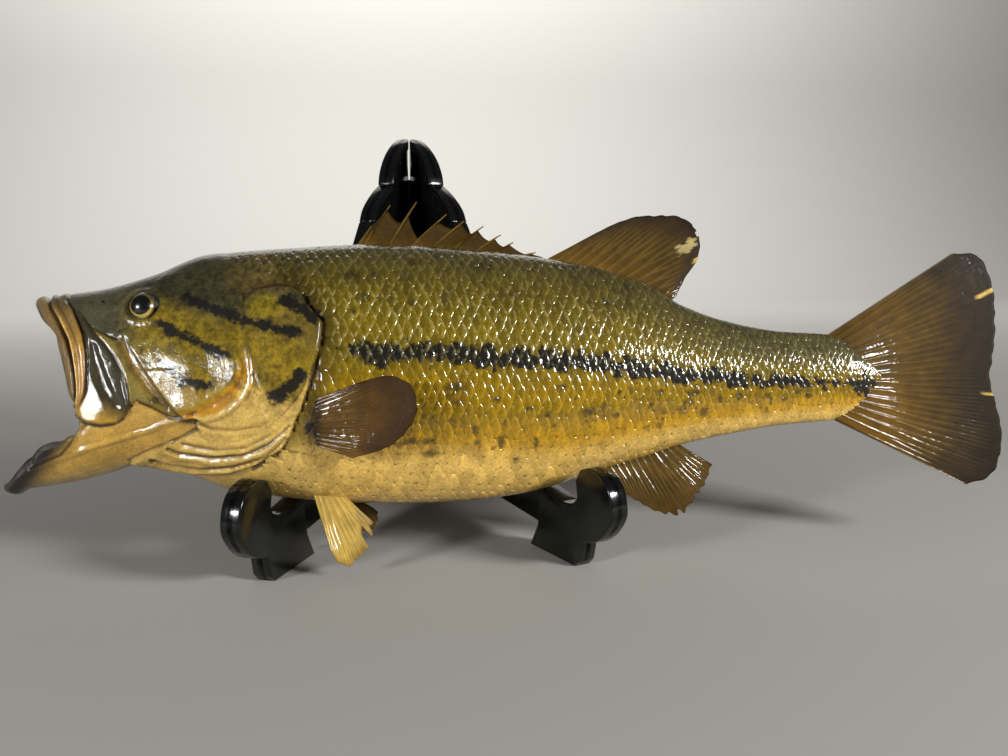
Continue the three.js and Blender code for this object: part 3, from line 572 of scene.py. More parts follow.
# The ragged side band's upper and lower edge, and the stripes of the head with their half widths.
BAND_TOP = smooth_line([(-104, 18), (-82, 16.5), (-59, 14.5), (-39, 15), (-7, 12.5), (26, 11), (48, 9),
                        (72, 5), (107, 1.5), (138, -2), (146, -5), (154, -3), (176, -7), (187, -5.5),
                        (208, -6)])
BAND_BOTTOM = smooth_line([(-104, 9), (-82, 5.5), (-59, 3.5), (-39, 4), (-7, 0.5), (26, -0.5), (48, -1.5),
                           (72, -5), (107, -8), (138, -9), (187, -11), (207, -12.5)])
STRIPES = [([(-166, 41), (-149, 32.5), (-139, 27.5), (-131, 25), (-124, 23), (-111, 21)], 2.8),
           ([(-178, 26), (-171, 22), (-161, 17), (-151, 12), (-144, 9.5)], 2.9),
           ([(-177, 7), (-172, 2), (-165, -4), (-154, -6)], 2.6),
           ([(-117, 38), (-110, 34), (-102, 28)], 3.4),
           ([(-121, -12), (-115, -7), (-109, -1)], 3.6),
           ([(-101, -30), (-97, -27)], 5.0)]

# Soft dark spots sprayed by hand on the flank and the back: x, h, half length and half height.
SPOTS = [(-31, -8.5, 5, 2.5), (-30, -16.5, 2, 1.5), (-34, -13, 2, 1.5), (25, -9, 3, 1.5),
         (18, -23.5, 2, 1.5), (41, -22.5, 3.5, 2.5), (57, -24.5, 2, 1.5), (59, -12.5, 1.5, 1.5),
         (-55, -35.5, 5, 1.5), (-45, -36, 3.5, 1.5), (-44, -42.5, 5, 1.5), (-7, -37, 2, 3.5),
         (1, -47.5, 2, 1.5), (12, -39, 1.5, 3), (-21, -30.5, 2, 2.5), (-20, -37.5, 1.5, 1.5),
         (8, -20, 2, 1.5), (-9, -15.5, 1.5, 1.5), (-51, 60.5, 3, 2.5), (-84, 52, 4.5, 2.5),
         (-72, 52.5, 2, 1.5), (-77, 39.5, 2, 3), (-53, 36, 2, 1.5), (-13, 58, 5, 3.5),
         (55, 38.5, 3, 2.5), (-83, 31.5, 2, 2.5), (39, 62, 3.5, 2.5), (85, -23, 2, 1.5),
         (77, -19.5, 2, 1.5), (83, -12, 2, 1.5), (104, -12.5, 3, 1.5), (109, -23.5, 3, 2.5),
         (119, -16.5, 2, 2.5), (130, -15.5, 3, 1.5), (148, -15, 2, 1.5), (158, -17, 2, 1.5),
         (167, -13, 2, 1.5), (173, -15.5, 2, 1.5), (-181, -11.5, 2.5, 2)]


def mix(under, over, share):
    """Lays one colour over another by a share from 0 to 1."""
    return under + (over - under) * np.asarray(share)[..., None]


def marks(x, h):
    """Distance to the edge of the dark marks in mm, positive inside them."""
    band = np.minimum(BAND_TOP(x) - h, h - BAND_BOTTOM(x)) - 6 * (1 - ramp(x, -100, -70))
    best = np.where(x > -104, band, -20)
    for path, half in STRIPES:
        best = np.maximum(best, half - distance(x, h, path))
    best = np.maximum(best, 5.0 - np.hypot(x - 209, (h + 10) / 1.2))
    return np.clip(best, -12, 12)


def spotting(x, h):
    """1 in the middle of a soft spot, fading to 0 around it."""
    total = np.zeros(x.shape)
    for spot_x, spot_h, half_long, half_high in SPOTS:
        off = np.hypot((x - spot_x) / half_long, (h - spot_h) / half_high)
        total = np.maximum(total, np.exp(-(0.8 * off) ** 2))
    return total


def paint(x, h):
    """The broad colours of the fish by place in the side view."""
    level = side_level(x, h)
    body = mix(np.broadcast_to(SIDE_PAINT, x.shape + (3,)), GOLD_PAINT, 1 - ramp(level, -0.25, 0.12))
    body = mix(body, SHOULDER_PAINT, ramp(level, 0.2, 0.62))
    body = mix(body, BACK_PAINT, ramp(level, 0.5, 0.86))
    body = mix(body, LOW_GOLD_PAINT, 1 - ramp(level, -0.62, -0.34))
    body = mix(body, BELLY_PAINT, 1 - ramp(level + 0.12 * ramp(x, -40, 60), -0.72, -0.5))
    body = mix(body, STEM_PAINT, ramp(x, 60, 150) * ramp(level, 0.0, 0.5) * 0.8)
    chest = 1 - ramp(level - 0.5 * (1 - ramp(x, -95, -60)), -0.95, -0.75)
    body = mix(body, BELLY_PAINT, chest * (x < -20))

    # Shade along the gill opening and under the root of the breast fin.
    gill_edge = ramp(np.maximum(inside(x, h, GILL_COVER), inside(x, h, MEMBRANE)), -16, -3)
    body = mix(body, GILL_SHADE, 0.6 * gill_edge * ramp(h, -50, -30))
    body = mix(body, FIN_ROOT_SHADE, 0.8 * (1 - ramp(np.hypot(x + 102, (h + 27) / 1.5), 4, 11)))

    # Head: cheek, dark top, snout, brown nape, gill cover and the bright patch at its top.
    head = np.broadcast_to(CHEEK_PAINT, x.shape + (3,))
    head = mix(head, HEAD_TOP_PAINT, ramp(h + 0.35 * (x + 140), 16, 32))
    head = mix(head, SNOUT_PAINT, 1 - ramp(x, -205, -180))
    head = mix(head, NAPE_PAINT, 0.8 * ramp(x, -154, -132) * ramp(h, 36, 46))
    head = mix(head, GILL_COVER_PAINT, 0.45 * ramp(x, -146, -134) * (1 - ramp(h, 28, 40)))
    head = mix(head, PATCH_PAINT, 0.6 * (1 - ramp(np.hypot((x + 126) / 10, (h - 34) / 6.5), 0.5, 1.3)))
    colour = mix(head, body, ramp(x + 0.2 * h, -122, -104) * (inside(x, h, GILL_COVER) < 0))
    plate, cheek = inside(x, h, CHEEK_PLATE), inside(x, h, CHEEK)
    low_cheek = ramp(-h, -2, 12) * ramp(x, -200, -180)
    colour = mix(colour, ORANGE_PAINT, (plate > -0.5) * ramp(-cheek, -0.8, 0.6) * ramp(-h, -12, 2))
    colour = mix(colour, TAN_PAINT, ramp(cheek, -1, 1) * low_cheek * 0.35)
    cover = inside(x, h, GILL_COVER)
    colour = mix(colour, MEMBRANE_PAINT, ramp(cover, -0.5, 0.5) * ramp(-(h + 0.45 * (x + 125)), 6, 14))
    colour = mix(colour, MEMBRANE_PAINT, ramp(inside(x, h, MEMBRANE), -0.8, 0.4) * (cover < 0.2))
    below = (cover < 0) & (plate < 0) & (x < -100)
    colour = mix(colour, MEMBRANE_PAINT, below * ramp(-h, 30, 40))

    colour = mix(colour, STRIP_PAINT, ramp(inside(x, h, OCHRE_STRIP), -1.5, 2.5))
    colour = mix(colour, SECOND_PLATE_PAINT, ramp(inside(x, h, SECOND_PLATE), -0.4, 0.6))
    plate_colour = mix(np.broadcast_to(PLATE_PAINT, x.shape + (3,)), PLATE_LOW_PAINT,
                       ramp(-h + 0.5 * (-x - 210), 6, 20))
    return mix(colour, plate_colour, ramp(inside(x, h, MAXILLA), -0.4, 0.6))


def jaw_paint(colour, x, h):
    """Adds the lower jaw's tan, its dark tip and its lip to the broad colours."""
    fold_line = smooth_line([(-218, -21), (-206, -24), (-197, -21), (-193, -15), (-189.5, -11.4), (-181, -16),
                             (-172, -21), (-160, -24)])
    jaw = np.where(x < -218, h < -15, h < fold_line(x) - 0.4) & (x < -158)
    colour = mix(colour, TAN_PAINT, jaw)
    low_jaw = 1 - ramp(h - np.interp(x, [-226, -160], [-46, -26]), -2, 0)
    colour = mix(colour, MEMBRANE_PAINT, jaw * low_jaw * 0.8)
    tip = ramp(-(x - 0.9 * (h + 45)), 226, 246)
    return mix(colour, JAW_TIP_PAINT, tip * (x < -218) * (h < 0))


def lip_paint(colour, x, h):
    """Adds the upper lip's bands: a toothed front, a groove painted dark as shade, a pale ridge and an ochre
    band.
    """
    share = lip_share(x, h)
    # The groove behind the toothed band is painted dark as shade.
    bands = mix(np.broadcast_to(LIP_PAINT, x.shape + (3,)), LIP_GROOVE_SHADE,
                ramp(share, 0.24, 0.31) * (1 - ramp(share, 0.38, 0.42)) * ramp(-h, -34, -22))
    bands = mix(bands, LIP_RIDGE_PAINT,
                ramp(share, 0.41, 0.46) * (1 - ramp(share, 0.5, 0.54)) * ramp(-h, -42, -30))
    bands = mix(bands, LIP_OCHRE_PAINT, ramp(share, 0.53, 0.58) * ramp(-h, -36, -10))
    bands = mix(bands, LIP_BACK_PAINT, ramp(share, 0.9, 0.97))
    bands = mix(bands, LIP_TOP_PAINT, ramp(h, 30, 44) * ramp(share, 0.3, 0.6))
    on_lip = ramp(in_upper_lip(x, h), -0.6, 0.3) * (x < -212)
    return mix(colour, bands, on_lip)


def skin_paint(x, h):
    """The skin's colours with the jaw, the lips and the dark rim of the eye socket."""
    colour = lip_paint(jaw_paint(paint(x, h), x, h), x, h)
    return mix(colour, SOCKET_PAINT, 0.85 * (1 - ramp(eye_distance(x, h), 1.06, 1.3)))


# %% [markdown]
# ## Materials
#
# All materials are made of nodes, so a small helper comes first: it adds one node, sets its own
# values, fills or links its inputs and gives back the output that the next node needs. Patterns
# read the object's own coordinates turned to millimetres, so a noise of scale 1/3 has lumps of
# about 3 mm on the real fish.

# %% Node helper
TIMES, PLUS, TIMES_PLUS = [{"operation": name} for name in ("MULTIPLY", "ADD", "MULTIPLY_ADD")]
LAY_OVER = {"data_type": "RGBA"}                            # one paint over another by a share
TINT = {"data_type": "RGBA", "blend_type": "MULTIPLY"}      # one paint darkened by another
SHARE, BELOW, ABOVE, MIXED = 0, 6, 7, 2                     # sockets of a Mix node that mixes colours


def add(tree, kind, settings=None, inputs=None, give=0):
    """Adds one node and returns one of its outputs. Inputs are numbers or links, in a list or by socket."""
    node = tree.nodes.new("ShaderNode" + kind)
    for key, value in (settings or {}).items():
        setattr(node, key, value)
    by_socket = dict(enumerate(inputs)) if isinstance(inputs, list) else inputs or {}
    for key, value in by_socket.items():
        if isinstance(value, bpy.types.NodeSocket):
            tree.links.new(value, node.inputs[key])
        else:
            node.inputs[key].default_value = value
    return node.outputs[give] if node.outputs else None


def rgba(code):
    return (*linear(code), 1)


def new_material(name):
    """An empty material, its node tree, and the place on the object in mm."""
    material = bpy.data.materials.new(name)
    material.use_nodes = True
    tree = material.node_tree
    tree.nodes.clear()
    print("material:", name)
    metres = add(tree, "TexCoord", give="Object")
    return material, tree, add(tree, "Mapping", None, {"Vector": metres, "Scale": (1000, 1000, 1000)})


# %% Painted fish: the colours that skin and scales share
def painted_colour(tree, place, chance=0.5):
    """Broad paint, mottled, with the frayed dark marks and a scatter of small spots over it."""
    colour = add(tree, "Attribute", {"attribute_name": "paint"}, give="Color")
    mottled, marked, upper, sprayed, spotted = [
        add(tree, "Attribute", {"attribute_name": key}, give="Fac")
        for key in ("mottle", "marks", "upper", "spots", "spotted")]
    # Lumps of paint by their size in mm, their detail and their roughness.
    blotch, speckle, cloud, fray, smudge, mist, dot, cluster = [
        add(tree, "TexNoise", None, {
            "Vector": place, "Scale": 1 / size, "Detail": detail, "Roughness": rough})
        for size, detail, rough in ((9, 3, 0.5), (1.4, 3, 0.65), (4.2, 4, 0.65), (5.5, 4, 0.7),
                                    (17, 2, 0.6), (2.2, 2, 0.6), (3.6, 1, 0.4), (13, 1, 0.4))]
    blotch = add(tree, "MapRange", None, [blotch, 0.3, 0.7, 0.78, 1.18])
    speckle = add(tree, "MapRange", None, [speckle, 0.3, 0.7, 0.72, 1.22])
    cloud = add(tree, "MapRange", None, [cloud, 0.36, 0.6, -0.55, 0.18])
    cloud = add(tree, "Math", TIMES_PLUS, [cloud, mottled, 1])
    shade = add(tree, "Math", TIMES, [add(tree, "Math", TIMES, [blotch, speckle]), cloud])
    colour = add(tree, "Mix", TINT, {SHARE: 1, BELOW: colour, ABOVE: shade}, give=MIXED)

    edge = add(tree, "Math", TIMES_PLUS, [add(tree, "Math", PLUS, [fray, -0.5]), 14, marked])
    edge = add(tree, "Math", TIMES_PLUS, [add(tree, "Math", PLUS, [chance, -0.5]), 5, edge])
    black = add(tree, "MapRange", None, [edge, -0.6, 1.4, 0, 0.97])
    smudge = add(tree, "MapRange", None, [smudge, 0.6, 0.72, 0, 0.45])
    smudge = add(tree, "Math", TIMES, [smudge, upper])
    mist = add(tree, "Math", TIMES_PLUS, [mist, 0.9, sprayed])
    mist = add(tree, "MapRange", None, [mist, 0.72, 1.2, 0, 0.75])
    dot = add(tree, "Math", TIMES_PLUS, [dot, 0.8, cluster])
    dot = add(tree, "MapRange", None, [dot, 1.02, 1.12, 0, 0.6])
    dot = add(tree, "Math", TIMES, [dot, spotted])
    for share, code in ((black, "100f0b"), (smudge, "2a281d"), (mist, "2e270d"), (dot, "3a2d10")):
        colour = add(tree, "Mix", LAY_OVER, {SHARE: share, BELOW: colour, ABOVE: rgba(code)}, give=MIXED)
    return colour


# Airbrushed acrylic under two coats of gloss varnish: saturated, with sharp highlights.
def skin_material():
    material, tree, place = new_material("varnished airbrushed fish skin")
    crease, grain = [add(tree, "Attribute", {"attribute_name": key}, give="Fac")
                     for key in ("crease", "grain")]
    pores, dents, ripples = [
        add(tree, "TexNoise", None, {
            "Vector": place, "Scale": 1 / size, "Detail": detail, "Roughness": rough})
        for size, detail, rough in ((0.9, 3, 0.7), (3.5, 2, 0.5), (4.5, 2, 0.5))]
    # Painted shade: the grooves of the relief are darkened towards a deep brown.
    groove_shade = add(tree, "MapRange", None, [crease, 0.05, 0.6, 0, 0.75])
    colour = add(tree, "Mix", LAY_OVER, {SHARE: groove_shade, BELOW: painted_colour(tree, place),
                                         ABOVE: rgba("2a1706")}, give=MIXED)
    pores = add(tree, "Math", TIMES, [pores, grain])
    height = add(tree, "Math", TIMES_PLUS, [dents, 0.25, pores])
    bump = add(tree, "Bump", None, {"Height": height, "Strength": 1, "Distance": 0.0006})
    ripples = add(tree, "Math", TIMES_PLUS, [pores, 1.2, ripples])
    varnish = add(tree, "Bump", None, {"Height": ripples, "Strength": 0.6, "Distance": 0.0006})
    shader = add(tree, "BsdfPrincipled", None, {
        "Base Color": colour, "Roughness": 0.5, "Specular IOR Level": 0.12, "Coat Weight": 1,
        "Coat Roughness": 0.05, "Normal": bump, "Coat Normal": varnish})
    add(tree, "OutputMaterial", None, {"Surface": shader})
    return material


def surface_fields(x, h):
    """The numbers that the painted material reads, at side-view points."""
    level = side_level(x, h)
    upper = ramp(level, 0.15, 0.5) * ramp(x, -130, -100)
    spotted = ramp(-level, 0.16, 0.3) * (1 - ramp(-level, 0.62, 0.78)) * ramp(x, -90, -60)
    # upper_edge: where the scales' rear edges get a painted highlight, from the waist up, fainter on the
    # back.
    pale = ramp(level, -0.1, 0.15) * (1 - 0.8 * ramp(level, 0.4, 0.75))
    mottle = (1 - ramp(x, -112, -100)) * ramp(h + 0.3 * (x + 160), -14, 0) * ramp(x, -212, -196)
    return {"marks": marks(x, h), "spots": spotting(x, h), "upper": upper, "spotted": spotted,
            "upper_edge": pale, "mottle": mottle}


# %% Make the skin
sx, sh = skin_points[..., 0], skin_points[..., 2]
outside_start = MOUTH_ROWS + LIP_ROWS
fields = surface_fields(sx, sh)
plain_x = np.concatenate([sx[:outside_start], px, sx[-1:]])
plain_h = np.concatenate([sh[:outside_start], ph, sh[-1:]])
colour = skin_paint(plain_x, plain_h)
lining_share = ramp(outside_start - 4 - np.arange(len(sx)), 0, 4)[:, None]
jaw_tip = ramp(-(sx - 0.9 * (sh + 45)), 226, 246) * (sh < 0)
colour = mix(colour, MOUTH_PAINT, lining_share * (1 - jaw_tip))
fields["marks"] = np.where(np.arange(len(sx))[:, None] < outside_start, -12, fields["marks"])
fields["paint"] = colour

# Grooves are where the relief lies below its own surroundings; the skin's material darkens them as painted
# shade.
blurred = lift.copy()
for _ in range(10):
    blurred = (np.roll(blurred, 1, 1) + np.roll(blurred, -1, 1) + 2 * blurred) / 4
    blurred[1:-1] = (blurred[:-2] + blurred[2:] + 2 * blurred[1:-1]) / 4
crease = np.zeros(sx.shape)
crease[outside_start:-1] = np.clip((blurred - lift) * ramp(-px, 92, 100), 0, 1)
crease[outside_start:-1] *= 1 - 0.3 * ramp(inside(px, ph, MEMBRANE), -2, 0)
fields["crease"] = crease

# The skin's pores are faint; the band of tiny teeth on the lip is as rough as coarse sandpaper.
PORE_GRAIN, TOOTH_GRAIN = 0.25, 1.4
grain = np.full(sx.shape, PORE_GRAIN)
toothed = ramp(in_upper_lip(px, ph), -0.5, 0.5) * (1 - ramp(lip_share(px, ph), 0.2, 0.3))
grain[outside_start:-1] += TOOTH_GRAIN * toothed
grain[outside_start - LIP_ROWS:outside_start] = TOOTH_GRAIN
fields["grain"] = grain

skin_finish = skin_material()
show("bass_skin", net("bass_skin", pose(skin_points), fields, around=True), skin_finish,
     ["head", "upper_lip", "maxilla_left", "maxilla_right", "lower_jaw", "gill_cover_left",
      "gill_cover_right", "gill_membrane_left", "gill_membrane_right", "trunk", "tail_stem"])

# %% [markdown]
# ## Scales
#
# About 1570 scales show on each side, every one a thin horny plate rooted under the skin whose rear
# edge overlaps the next. They lie in rows along the body, each row half a scale out of step with
# its neighbours. One plate is modelled and two Array modifiers lay out a flat sheet of copies. The
# sheet is then wrapped on the body: a copy's column and row say where along the fish and how far
# above or below the side band, measured round the body, it belongs.

# %% One scale
PLATE_RISE = [0.0, 0.35, 0.72, 1.0, 0.9, 0.35]      # height of the plate from its root to its rear edge
PLATE_STEPS = [0.0, 0.34, 0.64, 0.83, 0.925, 1.0]   # where along the plate those heights are
PLATE_ROOT, PLATE_SIDE, PLATE_DEPTH = -0.5, 1.04, -0.7
ARRAY_STEP = 10


def scale_plate():
    """A scale one long and one wide from its centre line, as a closed mesh."""
    build = bmesh.new()
    columns = len(PLATE_STEPS) - 1
    bmesh.ops.create_grid(build, x_segments=columns, y_segments=6, size=1)
    for vertex in build.verts:
        step = round((vertex.co.x + 1) / 2 * columns)
        across = vertex.co.y * PLATE_SIDE
        rear = 1 - 0.5 * abs(across) ** 1.5
        along = PLATE_ROOT + (rear - PLATE_ROOT) * PLATE_STEPS[step]
        vertex.co = (along, across, PLATE_RISE[step] - 0.35 * across ** 4)
    rim = [edge for edge in build.edges if edge.is_boundary]
    for vertex in corners_of(bmesh.ops.extrude_edge_only(build, edges=rim)["geom"]):
        vertex.co.z = PLATE_DEPTH
    bmesh.ops.contextual_create(build, geom=[edge for edge in build.edges if edge.is_boundary])
    bmesh.ops.recalc_face_normals(build, faces=build.faces)
    return finished(build, "scale_plate")


# %% The body unrolled: points by place along the fish and distance round it from the side band
TABLE_X = np.arange(-184, 222.1, 1.5)
TABLE_ROUND = np.arange(-125, 126, 1.0)


def unrolled_body():
    """Tables of the right side's points and facings, and the limits of back and belly, in mm."""
    angle = np.radians(np.arange(-135, 136, 1.0))
    x, turned = np.meshgrid(TABLE_X, angle, indexing="ij")
    points = around_axis(x, turned, RIGHT, reach(section_level, x, turned))
    step = np.linalg.norm(np.diff(points, axis=1), axis=-1)
    arc = np.concatenate([np.zeros((len(x), 1)), np.cumsum(step, axis=1)], axis=1)
    middle = (BAND_TOP(TABLE_X) + BAND_BOTTOM(TABLE_X)) / 2
    table = np.empty((len(TABLE_X), len(TABLE_ROUND), 3))
    limits = np.empty((len(TABLE_X), 2))
    upright = np.abs(np.degrees(angle)) <= 90.5
    for i, row in enumerate(points):
        start = np.interp(middle[i], row[upright, 2], arc[i, upright])
        limits[i] = np.interp([-math.pi / 2, math.pi / 2], angle, arc[i]) - start
        for axis in range(3):
            table[i, :, axis] = np.interp(TABLE_ROUND, arc[i] - start, row[:, axis])
    facing = normals(table)
    if np.sum(facing[..., 1] * table[..., 1]) < 0:
        facing = -facing
    return table, facing, limits


def sample(table, x, round_about):
    """Reads an unrolled table between its entries."""
    i = np.clip((x - TABLE_X[0]) / (TABLE_X[1] - TABLE_X[0]), 0, len(TABLE_X) - 1.001)
    j = np.clip(round_about - TABLE_ROUND[0], 0, len(TABLE_ROUND) - 1.001)
    i0, j0 = i.astype(int), j.astype(int)
    fi, fj = (i - i0)[..., None], (j - j0)[..., None]
    return ((table[i0, j0] * (1 - fj) + table[i0, j0 + 1] * fj) * (1 - fi)
            + (table[i0 + 1, j0] * (1 - fj) + table[i0 + 1, j0 + 1] * fj) * fi)


body_table, body_facing, round_limits = unrolled_body()
print("girth at mid-body in mm:", round(2 * float(np.ptp(round_limits[len(TABLE_X) // 2]))))

# %% Size and lie of the scales over the body
scale_length = smooth_line([(-184, 3.6), (-140, 4.1), (-112, 5.0), (-80, 5.5), (0, 5.6), (60, 5.2),
                            (110, 4.6), (160, 4.4), (200, 3.8), (221, 2.8)])
row_height = smooth_line([(-184, 4.2), (-140, 4.8), (-105, 5.6), (0, 6.0), (60, 5.6), (110, 4.7), (160, 4.4),
                          (200, 3.9), (221, 3.2)])
SCALE_COLUMNS, ROWS_BELOW, SCALE_ROWS = 86, 17, 35
SCALE_RISE = 0.62         # mm from a scale's root to the top of its rear edge on the flank
BAKE_PATCH = 0.003        # width of one scale's patch in the bake layout
fine_x = np.arange(-184, 221.1, 0.5)
scales_along = np.cumsum(0.5 / scale_length(fine_x))


def scale_sheet():
    """The flat sheet of plates from two Array modifiers, as (corners, faces' mesh)."""
    plate = bpy.data.objects.new("scale_sheet", scale_plate())
    bpy.context.scene.collection.objects.link(plate)
    per_plate = len(plate.data.vertices)
    for offset, count in (((ARRAY_STEP, 0, 0), SCALE_COLUMNS), ((0, ARRAY_STEP, 0), SCALE_ROWS)):
        array = plate.modifiers.new("copies", "ARRAY")
        array.use_relative_offset, array.use_constant_offset = False, True
        array.constant_offset_displace, array.count = offset, count
    graph = bpy.context.evaluated_depsgraph_get()
    sheet = bpy.data.meshes.new_from_object(plate.evaluated_get(graph))
    bpy.data.objects.remove(plate)
    return sheet, per_plate


def scale_fade(x, level):
    """1 where scales stand fully proud and less on the nape, chest and belly."""
    low = 0.3 + 0.7 * ramp(level, -0.7, -0.15)
    top = 0.35 + 0.65 * (1 - ramp(level, 0.45, 0.85))
    chest = 0.5 + 0.5 * np.maximum(ramp(x, -80, -30), ramp(level, -0.5, -0.1))
    return chest * low * top * (0.35 + 0.65 * ramp(x, -118, -70)) * (0.75 + 0.25 * (1 - ramp(x, 170, 215)))


def lay_out_for_baking(sheet, side, root_x, root_round, along, across):
    """Gives each scale a small patch of the bake layout, at its root's place on the unrolled side."""
    u = 0.02 + 0.96 * (root_x - TABLE_X[0]) / np.ptp(TABLE_X) + (along - 0.25) / 1.5 * BAKE_PATCH
    v = 0.25 + 0.22 * root_round / 110 + (0.5 if side == RIGHT else 0) + across / 2.1 * BAKE_PATCH
    corner = np.empty(len(sheet.loops), int)
    sheet.loops.foreach_get("vertex_index", corner)
    layout = sheet.uv_layers.new(name="OFBake")
    layout.data.foreach_set("uv", np.stack([u, v], -1)[corner].ravel())


def drop_copies(sheet, unwanted, side):
    """Deletes the copies that fall outside the scaled skin; the mirrored left side is turned outwards."""
    build = bmesh.new()
    build.from_mesh(sheet)
    build.verts.ensure_lookup_table()
    bmesh.ops.delete(build, geom=[build.verts[i] for i in np.flatnonzero(unwanted)], context="VERTS")
    if side == LEFT:
        bmesh.ops.reverse_faces(build, faces=build.faces)
    build.to_mesh(sheet)
    build.free()


# %% Wrap the sheet on one side of the body
def scale_coat(name, side, material, seed):
    """All the scales of one side, wrapped on the body."""
    sheet, per_plate = scale_sheet()
    flat = np.empty(3 * len(sheet.vertices))
    sheet.vertices.foreach_get("co", flat)
    flat = flat.reshape(-1, 3)
    copy = np.arange(len(flat)) // per_plate
    column, row = copy % SCALE_COLUMNS, copy // SCALE_COLUMNS - ROWS_BELOW
    along = flat[:, 0] - column * ARRAY_STEP
    across = flat[:, 1] - (row + ROWS_BELOW) * ARRAY_STEP

    chance = np.random.default_rng(seed)
    copies = SCALE_COLUMNS * SCALE_ROWS
    luck, shove, slide, turn_by = [chance.uniform(-1, 1, copies)[copy] for _ in range(4)]
    number_along = column + 0.5 * (row % 2) + 0.11 * shove
    root_x = np.interp(number_along, scales_along, fine_x)
    length, height = scale_length(root_x), row_height(root_x)
    twisted = across + 0.2 * turn_by * along
    x = root_x + along * length * (1 + 0.1 * slide)
    round_about = row * row_height(np.clip(x, -184, 221)) + (twisted + 0.1 * slide) * height
    root_round = row * height

    root = sample(body_table, root_x, root_round)
    limits = np.stack([np.interp(root_x, TABLE_X, round_limits[:, k]) for k in (0, 1)])
    level = side_level(root_x, root[:, 2])
    rise = SCALE_RISE * scale_fade(root_x, level) * (1 + 0.35 * luck)
    place = sample(body_table, x, round_about)
    facing = sample(body_facing, x, round_about)
    tilt = 0.35 * turn_by * across * ramp(along, 0, 1)
    sunk = UNDER_SCALES - 0.06 + 0.05 * (1 - ramp(level, -0.72, -0.45))     # deeper on the belly
    lifted = place + facing * (rise * (flat[:, 2] + tilt) - sunk)[:, None]
    sheet.vertices.foreach_set("co", pose(lifted * (1, side, 1)).ravel())

    fields = surface_fields(x, place[:, 2])
    fields["paint"] = paint(x, place[:, 2])
    fields["edge"] = ramp(along / (1 - 0.5 * np.abs(across) ** 1.5), 0.45, 1.0)
    fields["luck"] = luck * 0.5 + 0.5
    fields["flank"] = ramp(level, -0.72, -0.4)
    for key, value in fields.items():
        keep(sheet, key, value)

    lay_out_for_baking(sheet, side, root_x, root_round, along, across)

    wanted = scale_cover(root_x, root[:, 2]) > 0.5
    wanted &= (root_round > limits[0] + 0.6 * height) & (root_round < limits[1] - 0.6 * height)
    wanted &= (number_along < scales_along[-1] - 0.4) & (number_along > scales_along[0] + 1)
    drop_copies(sheet, ~wanted, side)
    print(name, "scales:", int(wanted.sum() / per_plate))
    return show(name, sheet, material)


# Horn under paint and varnish: the same colours as the skin, with painted shade at a plate's root,
# where the scale before it overlaps, and a painted highlight along the rear edge on the upper flank.
# The varnish lies in brush strokes along the fish, so it glints in streaks.
def scale_material():
    material, tree, place = new_material("varnished painted scales")
    luck, edge, flank, upper_edge = [add(tree, "Attribute", {"attribute_name": key}, give="Fac")
                                     for key in ("luck", "edge", "flank", "upper_edge")]
    stretched = add(tree, "Mapping", None, {"Vector": place, "Scale": (1, 0.35, 0.35)})
    patches, pores, strokes = [
        add(tree, "TexNoise", None, {
            "Vector": where, "Scale": 1 / size, "Detail": detail, "Roughness": rough})
        for where, size, detail, rough in ((place, 2.5, 2, 0.5), (place, 1.1, 2, 0.6),
                                           (stretched, 1.2, 1, 0.6))]
    tint = add(tree, "MapRange", None, [luck, 0, 1, 0.86, 1.14])
    colour = painted_colour(tree, place, luck)
    colour = add(tree, "Mix", TINT, {SHARE: 1, BELOW: colour, ABOVE: tint}, give=MIXED)
    # Painted shade: darker at the plate's root, where the scale before it overlaps, a touch lighter at its
    # rear edge.
    root_shade = add(tree, "MapRange", None, [edge, 0, 0.7, 0.72, 1.06])
    colour = add(tree, "Mix", TINT, {SHARE: flank, BELOW: colour, ABOVE: root_shade}, give=MIXED)
    # Painted highlight: a patchy pale rear edge on the upper flank, where the scales' edges catch the light.
    edge_glint = add(tree, "MapRange", None, [patches, 0.45, 0.62, 0, 0.5])
    edge_glint = add(tree, "Math", TIMES, [add(tree, "Math", TIMES, [edge, edge_glint]), upper_edge])
    colour = add(tree, "Mix", LAY_OVER, {SHARE: edge_glint, BELOW: colour, ABOVE: rgba("b5a86e")}, give=MIXED)
    bump = add(tree, "Bump", None, {"Height": pores, "Strength": 0.5, "Distance": 0.0004})
    varnish = add(tree, "Bump", None, {"Height": strokes, "Strength": 0.45, "Distance": 0.0006})
    shader = add(tree, "BsdfPrincipled", None, {
        "Base Color": colour, "Roughness": 0.55, "Specular IOR Level": 0.1, "Coat Weight": 1,
        "Coat Roughness": 0.05, "Normal": bump, "Coat Normal": varnish})
    add(tree, "OutputMaterial", None, {"Surface": shader})
    return material


scale_finish = scale_material()
scale_coat("scales_left", LEFT, scale_finish, seed=11)
scale_coat("scales_right", RIGHT, scale_finish, seed=12)

# %% [markdown]
# ## Eyes
#
# A taxidermist sets a glass eye in clay: a glass dome over a painted iris, a black pupil and a
# brassy ring. A ball turned so that its pole looks outwards lets the rings be drawn by the angle
# from that pole, which the mesh keeps as a number.

# %% The eyes
EYE_RADIUS, EYE_STANDS = 8.4, 1.8
EYE_LOOK = (-0.18, 0.10)        # how far the eye looks forward and up for one outwards
IRIS_EDGE = math.radians(62)    # angle from the pole to the edge of the painted iris


